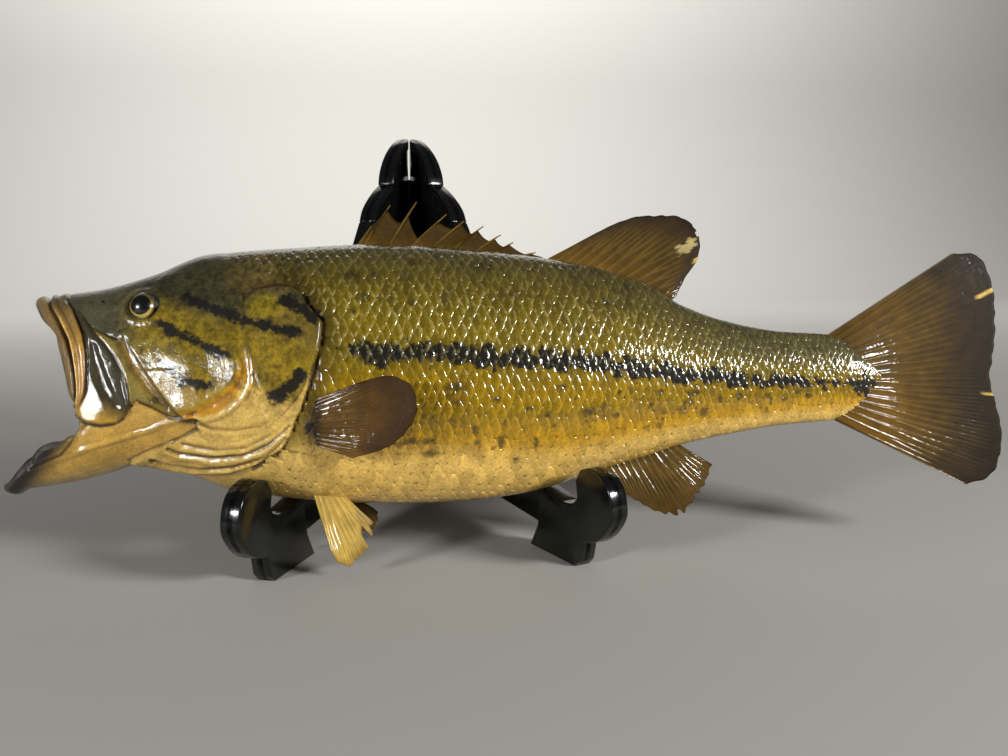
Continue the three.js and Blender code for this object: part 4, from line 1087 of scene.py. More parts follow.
# Painted clay behind a dome of lead glass: the brassy iris is darker above, and the glass glints.
def eye_material():
    material, tree, place = new_material("glass eye with painted iris")
    ring, rise = [add(tree, "Attribute", {"attribute_name": key}, give="Fac") for key in ("ring", "rise")]
    flecks = add(tree, "TexNoise", None, {"Vector": place, "Scale": 1 / 0.7, "Detail": 3, "Roughness": 0.7})
    colour = rgba("c2aa58")
    for share, code in ((add(tree, "MapRange", None, [rise, -0.5, 0.45]), "3f3a24"),
                        (add(tree, "MapRange", None, [flecks, 0.4, 0.75, 0, 0.45]), "8b6f26"),
                        (add(tree, "MapRange", None, [ring, 0.58, 0.63, 1, 0]), "060504"),
                        (add(tree, "MapRange", None, [ring, 0.78, 0.9]), "1c1a12")):
        colour = add(tree, "Mix", LAY_OVER, {SHARE: share, BELOW: colour, ABOVE: rgba(code)}, give=MIXED)
    shader = add(tree, "BsdfPrincipled", None, {
        "Base Color": colour, "Roughness": 0.25, "IOR": 1.5, "Coat Weight": 1, "Coat Roughness": 0.01})
    add(tree, "OutputMaterial", None, {"Surface": shader})
    return material


def eye(name, side, material, node):
    """One glass ball that looks outwards and a little forward and up."""
    look = Vector((EYE_LOOK[0], side, EYE_LOOK[1])).normalized()
    build = bmesh.new()
    bmesh.ops.create_uvsphere(build, u_segments=48, v_segments=32, radius=EYE_RADIUS)
    turned = Vector((0, 0, 1)).rotation_difference(look).to_matrix()
    bmesh.ops.rotate(build, matrix=turned, verts=build.verts)
    level = section_level(np.array([EYE_X]), np.array([0.0]), np.array([EYE_H]))
    reach_out = half_width(EYE_X) * (1 - level[0]) ** (1 / SECTION_POWER)
    centre = np.array([EYE_X, side * (reach_out - EYE_RADIUS + EYE_STANDS), EYE_H])
    local = np.array([vertex.co[:] for vertex in build.verts])
    for vertex, where in zip(build.verts, pose(local + centre)):
        vertex.co = where
    mesh = finished(build, name)
    from_axis = np.arccos(np.clip(local @ np.array(look) / EYE_RADIUS, -1, 1))
    keep(mesh, "ring", from_axis / IRIS_EDGE)
    keep(mesh, "rise", local[:, 2] / EYE_RADIUS)
    return show(name, mesh, material, [node])


eye_finish = eye_material()
eye("glass_eye_left", LEFT, eye_finish, "eye_left")
eye("glass_eye_right", RIGHT, eye_finish, "eye_right")

# %% [markdown]
# ## Fins
#
# A mount's fins are the fish's own, dried hard and varnished: a thin web stretched over bony rays
# that branch towards the margin. Each fin is a closed net with a front and a back face. Its
# columns fan out from the root to the tip, sixteen to a ray, so the rays stand up as ridges, and
# the margin is a little torn between them as dry fins are.

# %% One fin from a root line and a tip line
FIN_ROWS = 30
RAY_COLUMNS = 16


def smooth_path(points):
    """A smooth curve through points in mm, read by a share of its length."""
    points = np.array(points, float)
    run = np.concatenate([[0], np.cumsum(np.linalg.norm(np.diff(points, axis=0), axis=1))])
    lines = [smooth_line(list(zip(run / run[-1], points[:, axis]))) for axis in range(3)]

    def at(share):
        return np.stack([line(share) for line in lines], axis=-1)

    return at


def both_faces(value):
    """Repeats a fin's numbers for its far face, which runs back from the last column to the first."""
    return np.concatenate([value, value[:, ::-1]], axis=1)


def ray_ridge(across, along, rays):
    """1 on the crest of a ray, 0 in the web; each ray splits in two and again in four on its way out."""
    place = across * (rays - 1)
    off = np.abs(place - np.rint(place))
    branch = np.abs(off - 0.25 * ramp(along, 0.2, 0.55))
    twig = np.abs(branch - 0.12 * ramp(along, 0.5, 0.85))
    width = 0.16 - 0.09 * ramp(along, 0.15, 0.8)
    return np.exp(-(twig / width) ** 2)


def soft_fin(name, root, tip, rays, thick, colours, node, seed, ragged=1.0, wave=0.8, ridge=0.42,
             chips=(), flesh=0.0):
    """A fin of branching rays. colours(across, along, ridge) gives its paint; chips are bites in the margin
    as (place across, half width, depth), all as shares; flesh thickens the middle of the root."""
    chance = np.random.default_rng(seed)
    columns = (rays - 1) * RAY_COLUMNS + 1
    # The last rows lie close together, so that only the margin itself is rounded.
    steps = np.append(np.linspace(0, 0.98, FIN_ROWS - 2), [0.992, 1])
    across, along = np.meshgrid(np.linspace(0, 1, columns), steps)
    crest = ray_ridge(across, along, rays)
    margin = 0.5 + 0.5 * np.cos(2 * math.pi * across[0] * (rays - 1))
    uneven = np.interp(across[0] * (rays - 1), np.arange(rays), chance.uniform(0, 1, rays))
    cut = ragged * (0.012 + 0.022 * uneven) * (1 - margin)
    cut += ragged * 0.008 * np.interp(across[0], np.linspace(0, 1, 5 * rays), chance.uniform(-1, 1, 5 * rays))
    for where, half, depth in chips:
        cut += depth * ramp(half - np.abs(across[0] - where), 0, 0.35 * half)
    reach_out = along * (1 - cut)
    start, end = smooth_path(root)(across), smooth_path(tip)(across)
    middle = start + (end - start) * reach_out[..., None]
    out = normals(middle)
    out = out if np.mean(out[..., 1]) < 0 else -out
    sway = wave * np.sin(across * 9 + 2.5 * along) * along ** 1.5
    middle = middle + out * sway[..., None]
    border = ramp(np.minimum(across, 1 - across) * (rays - 1), 0, 0.12) ** 0.5
    border = border * ramp(1 - along, 0, 0.008)
    firm = np.interp(across * (rays - 1), np.arange(0, rays, 0.5), chance.uniform(0.6, 1.3, 2 * rays))
    ray = ridge * (1 - 0.6 * along - 0.4 * ramp(along, 0.75, 1)) * firm * crest
    half = (thick * (1 - 0.75 * along ** 0.7) / 2 + ray) * border
    half += flesh * np.sin(math.pi * across) ** 0.6 * (1 - ramp(along, 0.0, 0.42))
    near, far = middle + out * half[..., None], middle - out * half[..., None]
    ring = np.concatenate([near, far[:, ::-1]], axis=1)
    length = np.linalg.norm(end - start, axis=-1) * along
    values = {"paint": both_faces(colours(across, along, crest)), "crest": both_faces(crest),
              "along": both_faces(length), "varnished": both_faces(ramp(1 - along, 0.015, 0.07))}
    mesh = net(name, pose(ring), values, around=True)
    return show(name, mesh, fin_finish, [node])


# %% Varnished fin
# Dried web and bone under a thin coat of varnish: brown and horny, with short glints along the rays.
def fin_material():
    material, tree, place = new_material("varnished dried fin")
    colour = add(tree, "Attribute", {"attribute_name": "paint"}, give="Color")
    crest, along, varnished = [add(tree, "Attribute", {"attribute_name": key}, give="Fac")
                               for key in ("crest", "along", "varnished")]
    cloud, pores, ripples = [
        add(tree, "TexNoise", None, {
            "Vector": place, "Scale": 1 / size, "Detail": detail, "Roughness": rough})
        for size, detail, rough in ((9, 3, 0.6), (0.8, 2, 0.6), (4.5, 1, 0.5))]
    cloud = add(tree, "MapRange", None, [cloud, 0.3, 0.7, 0.75, 1.3])
    colour = add(tree, "Mix", TINT, {SHARE: 1, BELOW: colour, ABOVE: cloud}, give=MIXED)
    # A ray is a stack of short joints, each 2 pi / 5.2 or 1.2 mm long.
    joint = add(tree, "Math", {"operation": "SINE"}, [add(tree, "Math", TIMES, [along, 5.2])])
    joint = add(tree, "Math", TIMES, [joint, crest])
    height = add(tree, "Math", TIMES_PLUS, [joint, 0.12, pores])
    bump = add(tree, "Bump", None, {"Height": height, "Strength": 0.4, "Distance": 0.0005})
    varnish = add(tree, "Bump", None, {"Height": ripples, "Strength": 0.25, "Distance": 0.0006})
    shader = add(tree, "BsdfPrincipled", None, {
        "Base Color": colour, "Roughness": 0.55, "Specular IOR Level": 0.1,
        "Coat Weight": add(tree, "Math", TIMES, [varnished, 0.4]), "Coat Roughness": 0.08,
        "Normal": bump, "Coat Normal": varnish})
    add(tree, "OutputMaterial", None, {"Surface": shader})
    return material


fin_finish = fin_material()

# %% Fin colours
AMBER, TOBACCO, UMBER, SOOT = linear("553c06"), linear("3d2b07"), linear("2b1f0b"), linear("171108")
STRAW, PALE_RAY, OCHRE_BASE, KHAKI = linear("b99a4c"), linear("6b5420"), linear("6a4a04"), linear("98895a")
CHESTNUT, PECTORAL_TIP, WORN_GREY = linear("4a3004"), linear("35220a"), linear("6d6552")


def dorsal_colours(across, along, crest):
    """Brown, darker outwards, with a bare patch near the rear margin and a worn edge below it."""
    colour = mix(mix(AMBER, TOBACCO, ramp(along + 0.35 * across, 0.15, 0.75)), UMBER, ramp(along, 0.55, 0.95))
    colour = mix(colour, PALE_RAY, 0.5 * crest * (1 - ramp(along, 0.35, 0.9)))
    bare = ramp(0.032 - np.abs(across - 0.655 - 0.012 * np.sin(40 * along)), 0, 0.006)
    bare = bare * ramp(0.13 - np.abs(along - 0.83 - 0.02 * np.sin(200 * across)), 0, 0.02)
    low_bare = ramp(0.02 - np.abs(across - 0.765), 0, 0.006) * ramp(along, 0.9, 0.93)
    colour = mix(colour, SOOT, 0.6 * ramp(along, 0.93, 0.99))
    return mix(mix(colour, KHAKI, 0.95 * bare), STRAW, 0.9 * low_bare)


def tail_colours(across, along, crest):
    """Ochre at the base and dark at the margin, with two short straw-coloured tears."""
    base = mix(mix(AMBER, OCHRE_BASE, ramp(across, 0.45, 0.7)), UMBER, 0.3)
    colour = mix(base, TOBACCO, ramp(along, 0.3, 0.65))
    colour = mix(colour, UMBER, ramp(along, 0.6, 0.8))
    colour = mix(colour, SOOT, 0.6 * ramp(along, 0.8, 0.97))
    colour = mix(colour, PALE_RAY, 0.35 * crest * ramp(along, 0.05, 0.3) * (1 - ramp(along, 0.5, 0.8)))
    edge = 1 - ramp(np.minimum(across, 1 - across), 0.002, 0.01)
    colour = mix(colour, STRAW, 0.35 * edge * ramp(along, 0.3, 0.5))
    streak = ramp(0.009 - np.abs(across - 0.23 + 0.06 * (along - 0.95)), 0, 0.004) * ramp(along, 0.88, 0.9)
    streak += ramp(0.006 - np.abs(across - 0.61), 0, 0.003) * ramp(along, 0.92, 0.94)
    return mix(colour, STRAW, streak)


def pectoral_colours(across, along, crest):
    """Chestnut with paler rays and a dark root."""
    colour = mix(CHESTNUT, PECTORAL_TIP, ramp(along, 0.5, 1.0))
    colour = mix(colour, OCHRE_BASE, 0.6 * ramp(across, 0.8, 0.98))
    colour = mix(colour, PALE_RAY, 0.45 * crest * (1 - ramp(along, 0.3, 0.7)))
    return mix(colour, SOOT, 0.8 * (1 - ramp(along, 0.02, 0.12)))


def anal_colours(across, along, crest):
    """Pale rays in a tobacco-brown web."""
    colour = mix(PALE_RAY, AMBER, 0.35 + 0.4 * ramp(along, 0.3, 1.0))
    return mix(colour, TOBACCO, (0.5 + 0.3 * ramp(across, 0.2, 0.8)) * (1 - 0.6 * crest))


def pelvic_colours(across, along, crest):
    """Unpainted straw with a worn grey web at the rear."""
    colour = mix(STRAW, OCHRE_BASE, 0.35 * (1 - crest))
    colour = mix(colour, AMBER, 0.5 * ramp(along, 0.85, 1.0))
    return mix(colour, WORN_GREY, 0.6 * ramp(across, 0.72, 0.9) * ramp(along, 0.35, 0.6) * (1 - crest))


def dark_pelvic_colours(_, along, crest):
    """The far fin is painted brown."""
    return mix(mix(TOBACCO, AMBER, 0.5 * ramp(along, 0.4, 1)), PALE_RAY, 0.3 * crest)


# %% The soft fins
soft_fin("dried_soft_dorsal_fin", [(24, 0, 67), (50, 0, 62), (76, 0, 54), (97, 0, 41)],
         [(57, 0, 84), (72, 0, 91), (86, 0, 94.5), (102, 0, 94.5), (114, 0, 89.5), (119, 0, 78), (117, 0, 68),
          (110, 0, 58), (103, 0, 46)],
         14, 2.2, dorsal_colours, "soft_dorsal_fin", 21, ragged=0.5, chips=[(0.62, 0.015, 0.03)])
soft_fin("dried_anal_fin", [(54, 0, -50), (70, 0, -46), (84, 0, -42.5), (98, 0, -39)],
         [(62, 0, -64.5), (74, 0, -72), (86, 0, -79), (98, 0, -81.5), (105, 0, -75), (112, 0, -67),
          (116, 0, -60), (119, 0, -53)],
         13, 2.2, anal_colours, "anal_fin", 22, ragged=1.6, ridge=0.3,
         chips=[(0.55, 0.02, 0.06), (0.74, 0.02, 0.05)])
soft_fin("dried_tail_fin", [(190, 0, 20), (196, 0, 8), (198, 0, -5), (197, 0, -18), (191, 0, -28.5)],
         [(269, 0, 67.3), (281, 0, 67.3), (289.5, 0, 58), (292.8, 0, 40), (291, 0, 21), (287, 0, 3),
          (284.3, 0, -9), (287, 0, -25), (289, 0, -41), (286, 0, -57), (279, 0, -66), (266, 0, -69.4)],
         17, 5.0, tail_colours, "tail_fin", 23, ragged=0.3, wave=1.2, ridge=0.44, flesh=3.4)
soft_fin("dried_pectoral_fin_left", [(-101, -41, -13), (-102, -41.5, -25), (-101, -40, -37)],
         [(-82, -50, -6.5), (-66, -56, -3.5), (-54, -59.5, -9.5), (-51.5, -60, -20), (-57, -58, -31.5),
          (-68, -54.5, -39.5), (-84, -48, -43.5)],
         13, 2.4, pectoral_colours, "pectoral_fin_left", 24, ragged=0.4, wave=0.5, ridge=0.3)
soft_fin("dried_pectoral_fin_right", [(-100, 41, -20), (-103, 40, -28), (-103, 38, -36)],
         [(-72, 44.5, -25), (-62, 43, -33), (-58, 41, -42), (-64, 37.5, -50), (-74, 34, -55),
          (-86, 32.5, -56)],
         13, 2.2, pectoral_colours, "pectoral_fin_right", 25, ragged=0.7, wave=0.5)
soft_fin("dried_pelvic_fin_left", [(-106, -14, -60), (-97, -14, -62), (-89, -14, -63)],
         [(-97, -18, -91), (-93, -18, -97), (-88.5, -18, -99.5), (-83, -18, -97.5), (-77.5, -18, -91.5),
          (-75, -17.5, -84), (-75, -17, -76.5)],
         7, 2.6, pelvic_colours, "pelvic_fin_left", 26, ragged=2.2, wave=0.6, ridge=0.6,
         chips=[(0.73, 0.07, 0.24), (0.5, 0.03, 0.05), (0.9, 0.03, 0.06)])
soft_fin("dried_pelvic_fin_right", [(-106, 13, -60), (-97, 13, -62), (-88, 13, -63)],
         [(-86, 15, -81), (-78, 16, -84), (-73, 16, -80), (-72, 15, -74), (-76, 14, -70)],
         7, 2.4, dark_pelvic_colours, "pelvic_fin_right", 27, wave=0.4)

# %% [markdown]
# ### The spiny fin
#
# The front dorsal fin is carried on nine stiff spines that lean back and stand clear of the web at
# their tips. The web hangs in a curve from one spine to the next and is torn low behind the third
# spine. Each spine is a long cone sunk in the back.

# %% The spiny fin
SPINES = [(-79, -62, 100), (-65, -47, 102), (-53, -30, 95), (-42, -20, 91), (-30, -9, 88), (-18, 1, 83),
          (-7, 8, 78.5), (5, 21, 72.5)]     # base x, tip x, tip h
FIRST_SPINE = ((-82, 74), (-72.5, 88))       # the short spine that lies against the first long one
# The web between two spines: how far up the front spine it starts, how far up the rear one it
# ends, both as shares of the spine, and how deep it sags in mm.
WEBS = [(0.90, 0.62, 3.5), (0.72, 0.30, 2.0), (0.78, 0.78, 1.2), (0.93, 0.74, 2.2), (0.84, 0.72, 1.8),
        (0.82, 0.70, 1.4), (0.84, 0.72, 1.0)]
WEB_END = (25, 69.5)
SPINE_RADIUS, SPINE_TIP_RADIUS, SPINE_SUNK = 1.25, 0.28, 3.0


def spine_line(index):
    base_x, tip_x, tip_h = SPINES[index]
    return np.array([base_x, back(base_x) - SPINE_SUNK]), np.array([tip_x, tip_h])


def up_spine(index, share):
    base, tip = spine_line(index)
    return base + (tip - base) * share


def web_lines():
    """The web's lines from their feet to their tops, ten to each gap between two spines."""
    front_base, front_tip = np.array([-84.0, back(-84) - SPINE_SUNK]), up_spine(0, 0.8)
    rear_base = np.array([WEB_END[0], back(WEB_END[0]) - SPINE_SUNK])
    gaps = [(front_base, up_spine(0, 0), np.array(FIRST_SPINE[1]), front_tip, 0)]
    for i, (start, end, sag) in enumerate(WEBS):
        gaps.append((up_spine(i, 0), up_spine(i + 1, 0), up_spine(i, start), up_spine(i + 1, end), sag))
    gaps.append((up_spine(7, 0), rear_base, up_spine(7, 0.85), np.array(WEB_END), 0))
    low, high = [], []
    for foot, next_foot, top, next_top, sag in gaps:
        for u in np.linspace(0, 1, 10):
            low.append(foot + (next_foot - foot) * u)
            high.append(top + (next_top - top) * u - [0, 4 * sag * u * (1 - u)])
    return np.array(low), np.array(high)


def spiny_web():
    """The web between the spines as a closed net."""
    rows = 12
    low, high = web_lines()
    across, along = np.meshgrid(np.linspace(0, 1, len(low)), np.linspace(0, 1, rows))
    flat = low + (high - low) * along[..., None]
    sway = 0.7 * np.sin(across * 28 + 1.5) * along
    half = 0.75 * (1 - 0.6 * along) * ramp(1 - along, 0, 0.06) ** 0.5
    half = half * ramp(np.minimum(across, 1 - across), 0, 0.004) ** 0.5
    near = np.stack([flat[..., 0], sway - half, flat[..., 1]], axis=-1)
    far = np.stack([flat[..., 0], sway + half, flat[..., 1]], axis=-1)
    ring = np.concatenate([near, far[:, ::-1]], axis=1)
    streak = 0.5 + 0.5 * np.sin(flat[..., 0] * 1.1 + flat[..., 1] * 0.8)
    colour = mix(mix(AMBER, TOBACCO, ramp(along, 0.1, 0.6)), UMBER, 0.5 * streak)
    dull = np.zeros(along.shape)
    values = {"paint": both_faces(colour), "crest": both_faces(dull), "along": both_faces(flat[..., 1]),
              "varnished": both_faces(dull)}
    return net("spiny_web", pose(ring), values, around=True)


def add_spine(build, base, tip, stout):
    """A slightly bowed cone from a base to a tip, both as [x, h]."""
    paint_layer = build.verts.layers.float_vector.get("paint")
    crest_layer, along_layer = build.verts.layers.float.get("crest"), build.verts.layers.float.get("along")
    stem = Vector((tip[0] - base[0], 0, tip[1] - base[1]))
    before = len(build.verts)
    made = bmesh.ops.create_cone(build, cap_ends=True, segments=12, radius1=SPINE_RADIUS * stout,
                                 radius2=SPINE_TIP_RADIUS, depth=stem.length)["verts"]
    sides = [edge for edge in {edge for vertex in made for edge in vertex.link_edges}
             if abs(edge.verts[0].co.z - edge.verts[1].co.z) > 1]
    bmesh.ops.subdivide_edges(build, edges=sides, cuts=7)
    build.verts.ensure_lookup_table()
    made = build.verts[before:]
    turned = Vector((0, 0, 1)).rotation_difference(stem).to_matrix()
    middle = Vector((base[0] + tip[0], 0, base[1] + tip[1])) / 2
    for vertex in made:
        share = vertex.co.z / stem.length + 0.5
        bow = Vector((0, 0, 0.05 * stem.length * share * (1 - share)))
        vertex[paint_layer] = Vector(mix(PALE_RAY, TOBACCO, np.float64(0.25 + 0.5 * (1 - share))))
        vertex[crest_layer], vertex[along_layer] = 0.3, share * stem.length
        vertex.co = turned @ vertex.co + bow + middle
    for vertex, place in zip(made, pose(np.array([vertex.co[:] for vertex in made]))):
        vertex.co = place


def spiny_fin():
    """The web and its spines as one piece."""
    mesh = spiny_web()
    build = bmesh.new()
    build.from_mesh(mesh)
    for i in range(len(SPINES)):
        add_spine(build, *spine_line(i), 1.0)
    add_spine(build, *FIRST_SPINE, 0.75)
    build.to_mesh(mesh)
    build.free()
    show("dried_spiny_dorsal_fin", mesh, fin_finish, ["spiny_dorsal_fin"])


spiny_fin()

# %% [markdown]
# ## Easel
#
# The fish rests on a folding plate easel of black moulded plastic: two thin webs with a broad rim
# along the front edge, hinged on an upright pin with a round head. Moulded parts have no sharp
# corners, so every edge is bevelled, and the rims catch the light along their bevels.

# %% The easel
EASEL_X, EASEL_Y, PIN_HEIGHT = -46, 166, 218
HALF_ANGLE = math.radians(23)
WEB_THICK, RIM_THICK, RIM_DEPTH, HALF_GAP = 4.0, 11.0, 5.5, 0.5
PIN_RADIUS, KNOB_RADIUS, KNUCKLE_RADIUS = 3.8, 4.6, 7.5
# Outlines as (distance from the hinge line, height), in runs that are each a smooth curve.
FOOT_FRONT = [(172, 0), (217, 0), (221, 4), (223.5, 15)]
HOOK_OUTER = [(223.5, 15), (233, 17.5), (243, 25), (249.5, 37), (247, 48), (239, 55.5), (229, 57.5),
              (221, 55)]
HOOK_INNER = [(217, 48), (218.5, 40), (214, 35), (205, 33.6), (184, 38), (160, 43), (145, 51)]
LOWER_ARM = [(141, 60), (139, 76), (130, 98), (104, 155), (90, 173), (77, 190)]
UPPER_ARM = [(77, 190), (73, 197), (65, 204), (55.5, 210), (44.5, 215.5)]
TOP_LOBE = [(44.5, 215.5), (43.3, 221), (39, 229), (31, 237.5), (18, 246), (8, 250)]
WEB_BACK = [(1, 249), (1, 226), (4.4, 224), (4.4, 0), (20, 0), (28, 16), (100, 21), (180, 14)]
WEB_WINDOW = [(25, 60), (36, 42), (52, 38), (112, 38), (128, 44), (126, 58), (88, 144), (72, 160), (52, 166),
              (30, 160)]
KNUCKLES = {LEFT: [(26, 52), (150, 178)], RIGHT: [(53, 79), (179, 207)]}


def rounded(corners, steps=4):
    """More corners along a smooth curve through the given ones."""
    flat = smooth_path([(x, 0, y) for x, y in corners])(np.linspace(0, 1, steps * len(corners)))
    return [tuple(point) for point in flat[:, [0, 2]]]


def set_back(corners, depth):
    """The same line moved to its right-hand side."""
    line = np.array(corners, float)
    along = np.gradient(line, axis=0)
    along /= np.maximum(np.linalg.norm(along, axis=1, keepdims=True), 1e-9)
    return [tuple(point) for point in line + depth * np.stack([along[:, 1], -along[:, 0]], -1)]


def slab(build, loops, thick, round_off):
    """A flat bar filled between closed outlines in x and y, with bevelled edges."""
    before = set(build.verts)
    edges = []
    for loop in loops:
        corners = [point for point, last in zip(loop, loop[-1:] + loop[:-1]) if math.dist(point, last) > 0.3]
        ring = [build.verts.new((x, y, -thick / 2)) for x, y in corners]
        edges += [build.edges.new(pair) for pair in zip(ring, ring[1:] + ring[:1])]
    filled = bmesh.ops.triangle_fill(build, edges=edges, use_beauty=True)["geom"]
    faces = [item for item in filled if isinstance(item, bmesh.types.BMFace)]
    top = corners_of(bmesh.ops.extrude_face_region(build, geom=faces)["geom"])
    bmesh.ops.translate(build, vec=(0, 0, thick), verts=top)
    made = set(build.verts) - before
    bmesh.ops.recalc_face_normals(build, faces=list({face for vertex in made for face in vertex.link_faces}))
    rims = [edge for edge in {edge for vertex in made for edge in vertex.link_edges}
            if edge.calc_face_angle(0) > math.radians(60)]
    bmesh.ops.bevel(build, geom=rims, affect="EDGES", offset=round_off, segments=3, profile=0.5, material=-1)


def easel_half(name, side, node):
    """A thin web with rims of rounded bars and its knuckles, turned about the hinge line."""
    sin, cos = math.sin(HALF_ANGLE), math.cos(HALF_ANGLE)
    build = bmesh.new()
    front = rounded(HOOK_INNER + LOWER_ARM) + rounded(UPPER_ARM) + rounded(TOP_LOBE)
    slab(build, [FOOT_FRONT + rounded(HOOK_OUTER) + front + WEB_BACK, WEB_WINDOW], WEB_THICK, 0.5)
    slab(build, [FOOT_FRONT + rounded(HOOK_OUTER) + rounded(HOOK_INNER[:5]) + [(180, 14)]], RIM_THICK, 0.9)
    for run in (HOOK_INNER[3:] + LOWER_ARM, UPPER_ARM, TOP_LOBE):
        edge = rounded(run)
        slab(build, [edge + set_back(edge, -RIM_DEPTH)[::-1]], RIM_THICK, 0.9)
    for vertex in build.verts:
        outward = vertex.co.x * sin + vertex.co.z * side * cos
        if outward < HALF_GAP:
            vertex.co.z += side * (HALF_GAP - outward) / cos
    for low, high in KNUCKLES[side]:
        knuckle = bmesh.ops.create_cone(build, cap_ends=True, segments=24, radius1=KNUCKLE_RADIUS,
                                        radius2=KNUCKLE_RADIUS, depth=high - low)["verts"]
        bmesh.ops.rotate(build, matrix=Matrix.Rotation(math.radians(90), 3, "X"), verts=knuckle)
        bmesh.ops.translate(build, vec=(0, (low + high) / 2, 0), verts=knuckle)
    foot = Vector((EASEL_X + SHIFT[0], EASEL_Y + SHIFT[1], 0))
    for vertex in build.verts:
        away, height, across = vertex.co
        turned = Vector((side * away * sin + across * cos, side * across * sin - away * cos, height))
        vertex.co = (turned + foot) * MM
    bmesh.ops.recalc_face_normals(build, faces=build.faces)
    show(name, finished(build, name), easel_finish, [node])


# Injection-moulded black plastic: glossy, with the faint large waves of a thin moulding.
def plastic_material():
    material, tree, place = new_material("black moulded plastic")
    waves = add(tree, "TexNoise", None, {"Vector": place, "Scale": 1 / 25, "Detail": 2, "Roughness": 0.5})
    bump = add(tree, "Bump", None, {"Height": waves, "Strength": 0.25, "Distance": 0.002})
    shader = add(tree, "BsdfPrincipled", None, {
        "Base Color": rgba("0a0c0a"), "Roughness": 0.16, "IOR": 1.5, "Normal": bump})
    add(tree, "OutputMaterial", None, {"Surface": shader})
    return material


easel_finish = plastic_material()
easel_half("plastic_left_half", LEFT, "easel_left_half")
easel_half("plastic_right_half", RIGHT, "easel_right_half")


def easel_pin():
    """A round-headed pin, as one turned profile."""
    build = bmesh.new()
    profile = [(0.01, 12), (PIN_RADIUS, 12), (PIN_RADIUS, PIN_HEIGHT - 9), (PIN_RADIUS, PIN_HEIGHT - 4)]
    for turn in range(-40, 90, 10):
        climb = math.radians(turn)
        profile.append((KNOB_RADIUS * math.cos(climb), PIN_HEIGHT + KNOB_RADIUS * math.sin(climb)))
    profile.append((0.01, PIN_HEIGHT + KNOB_RADIUS))
    corners = [build.verts.new((radius, 0, height)) for radius, height in profile]
    edges = [build.edges.new(pair) for pair in zip(corners, corners[1:])]
    bmesh.ops.spin(build, geom=corners + edges, cent=(0, 0, 0), axis=(0, 0, 1), angle=math.tau, steps=32,
                   use_merge=True)
    bmesh.ops.remove_doubles(build, verts=build.verts, dist=0.02)
    bmesh.ops.recalc_face_normals(build, faces=build.faces)
    bmesh.ops.translate(build, vec=(EASEL_X + SHIFT[0], EASEL_Y + SHIFT[1], 0), verts=build.verts)
    bmesh.ops.scale(build, vec=(MM, MM, MM), verts=build.verts)
    show("plastic_pin", finished(build, "plastic_pin"), easel_finish, ["easel_pin"])


easel_pin()

# %% [markdown]
# ## Display
#
# The model stands on a plain pale floor that curves up into a plain backdrop. Varnish mirrors the
# lamps, so a large lamp in front would fog it. Two small soft lamps stand wide to the right and left
# instead: the flats of the scales stay dark and only their raised rear edges glint. A third lamp
# behind the model washes the backdrop and does not reach the fish.

# %% Floor and backdrop
FLOOR_HALF, CURVE_RADIUS, BACKDROP_TOP, CURVE_STEPS = 2.5, 0.9, 3.5, 12      # the lengths in metres


# Matt paper, so the floor takes soft shadows and shows no mirror image.
def paper_material():
    material, tree, _ = new_material("pale studio paper")
    shader = add(tree, "BsdfPrincipled", None, {
        "Base Color": rgba("a3a19c"), "Roughness": 0.8, "Specular IOR Level": 0.1})
    add(tree, "OutputMaterial", None, {"Surface": shader})
    return material


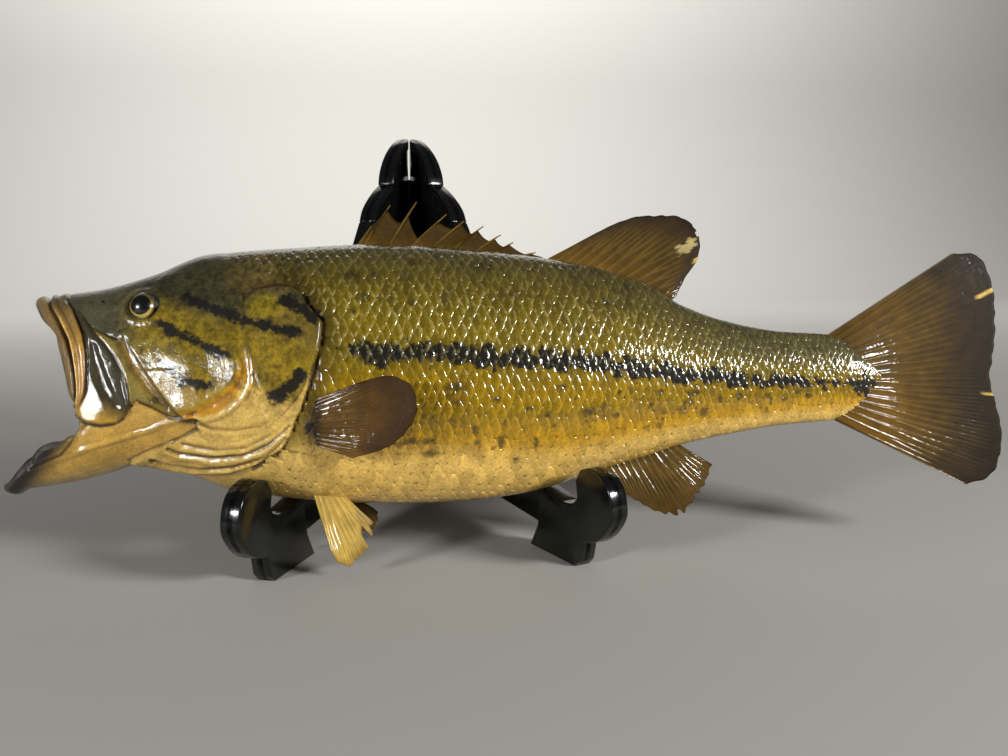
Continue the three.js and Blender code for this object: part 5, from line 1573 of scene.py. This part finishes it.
def stage_surface():
    """A flat floor whose far side is extruded up through a curve into a backdrop."""
    build = bmesh.new()
    bmesh.ops.create_grid(build, x_segments=1, y_segments=1, size=FLOOR_HALF)
    bmesh.ops.scale(build, vec=(2.4, 1, 1), verts=build.verts)
    far = [edge for edge in build.edges if all(vertex.co.y > 2 for vertex in edge.verts)]
    for step in range(1, CURVE_STEPS + 1):
        far = bmesh.ops.extrude_edge_only(build, edges=far)["geom"]
        turn = math.radians(90) * step / CURVE_STEPS
        for vertex in corners_of(far):
            vertex.co.y = FLOOR_HALF + CURVE_RADIUS * math.sin(turn)
            vertex.co.z = CURVE_RADIUS * (1 - math.cos(turn))
        far = [item for item in far if isinstance(item, bmesh.types.BMEdge)]
    for vertex in corners_of(bmesh.ops.extrude_edge_only(build, edges=far)["geom"]):
        vertex.co.z = BACKDROP_TOP
    mesh = finished(build, "floor_and_backdrop")
    mesh.shade_smooth()
    surface = bpy.data.objects.new("floor_and_backdrop", mesh)
    bpy.context.scene.collection.objects.link(surface)
    mesh.materials.append(paper_material())


stage_surface()


# %% Lights
def soft_light(name, place, aim, wide, tall, power):
    """A rectangular soft light of given width and height in metres, turned to face a point."""
    light = bpy.data.lights.new(name, "AREA")
    light.shape, light.size, light.size_y = "RECTANGLE", wide, tall
    light.energy = power
    lamp = bpy.data.objects.new(name, light)
    bpy.context.scene.collection.objects.link(lamp)
    lamp.location = place
    lamp.rotation_euler = (Vector(aim) - Vector(place)).to_track_quat("-Z", "Y").to_euler()
    print(f"{name}: {wide} x {tall} m, {power} W")


soft_light("lamp_right", (1.16, -1.06, 0.7), (0, 0, 0.1), 0.44, 0.22, 32)
soft_light("lamp_left", (-1.15, -1.0, 0.45), (-0.1, 0, 0.1), 0.26, 0.16, 15)
soft_light("backdrop_wash", (0, 1.6, 2.6), (0, 3.4, 1.5), 3.0, 0.6, 190)
world = bpy.data.worlds.new("room")
bpy.context.scene.world = world
bpy.context.scene.view_settings.view_transform = "Standard"
world.use_nodes = True
world.node_tree.nodes["Background"].inputs["Color"].default_value = rgba("c9cdd2")
world.node_tree.nodes["Background"].inputs["Strength"].default_value = 0.1

# %% Camera
LENS, SENSOR = 32, 36
CAMERA_TURN, CAMERA_TILT, CAMERA_DISTANCE = math.radians(-8), math.radians(8), 0.508
target = Vector((SHIFT[0] * MM, SHIFT[1] * MM, CENTRE_HEIGHT * MM))
away = Vector((math.sin(CAMERA_TURN) * math.cos(CAMERA_TILT), -math.cos(CAMERA_TURN) * math.cos(CAMERA_TILT),
               math.sin(CAMERA_TILT)))
lens = bpy.data.cameras.new("camera")
lens.lens, lens.sensor_width, lens.clip_start = LENS, SENSOR, 0.01
camera = bpy.data.objects.new("camera", lens)
bpy.context.scene.collection.objects.link(camera)
camera.location = target + away * CAMERA_DISTANCE
camera.rotation_euler = (-away).to_track_quat("-Z", "Y").to_euler()
bpy.context.scene.camera = camera
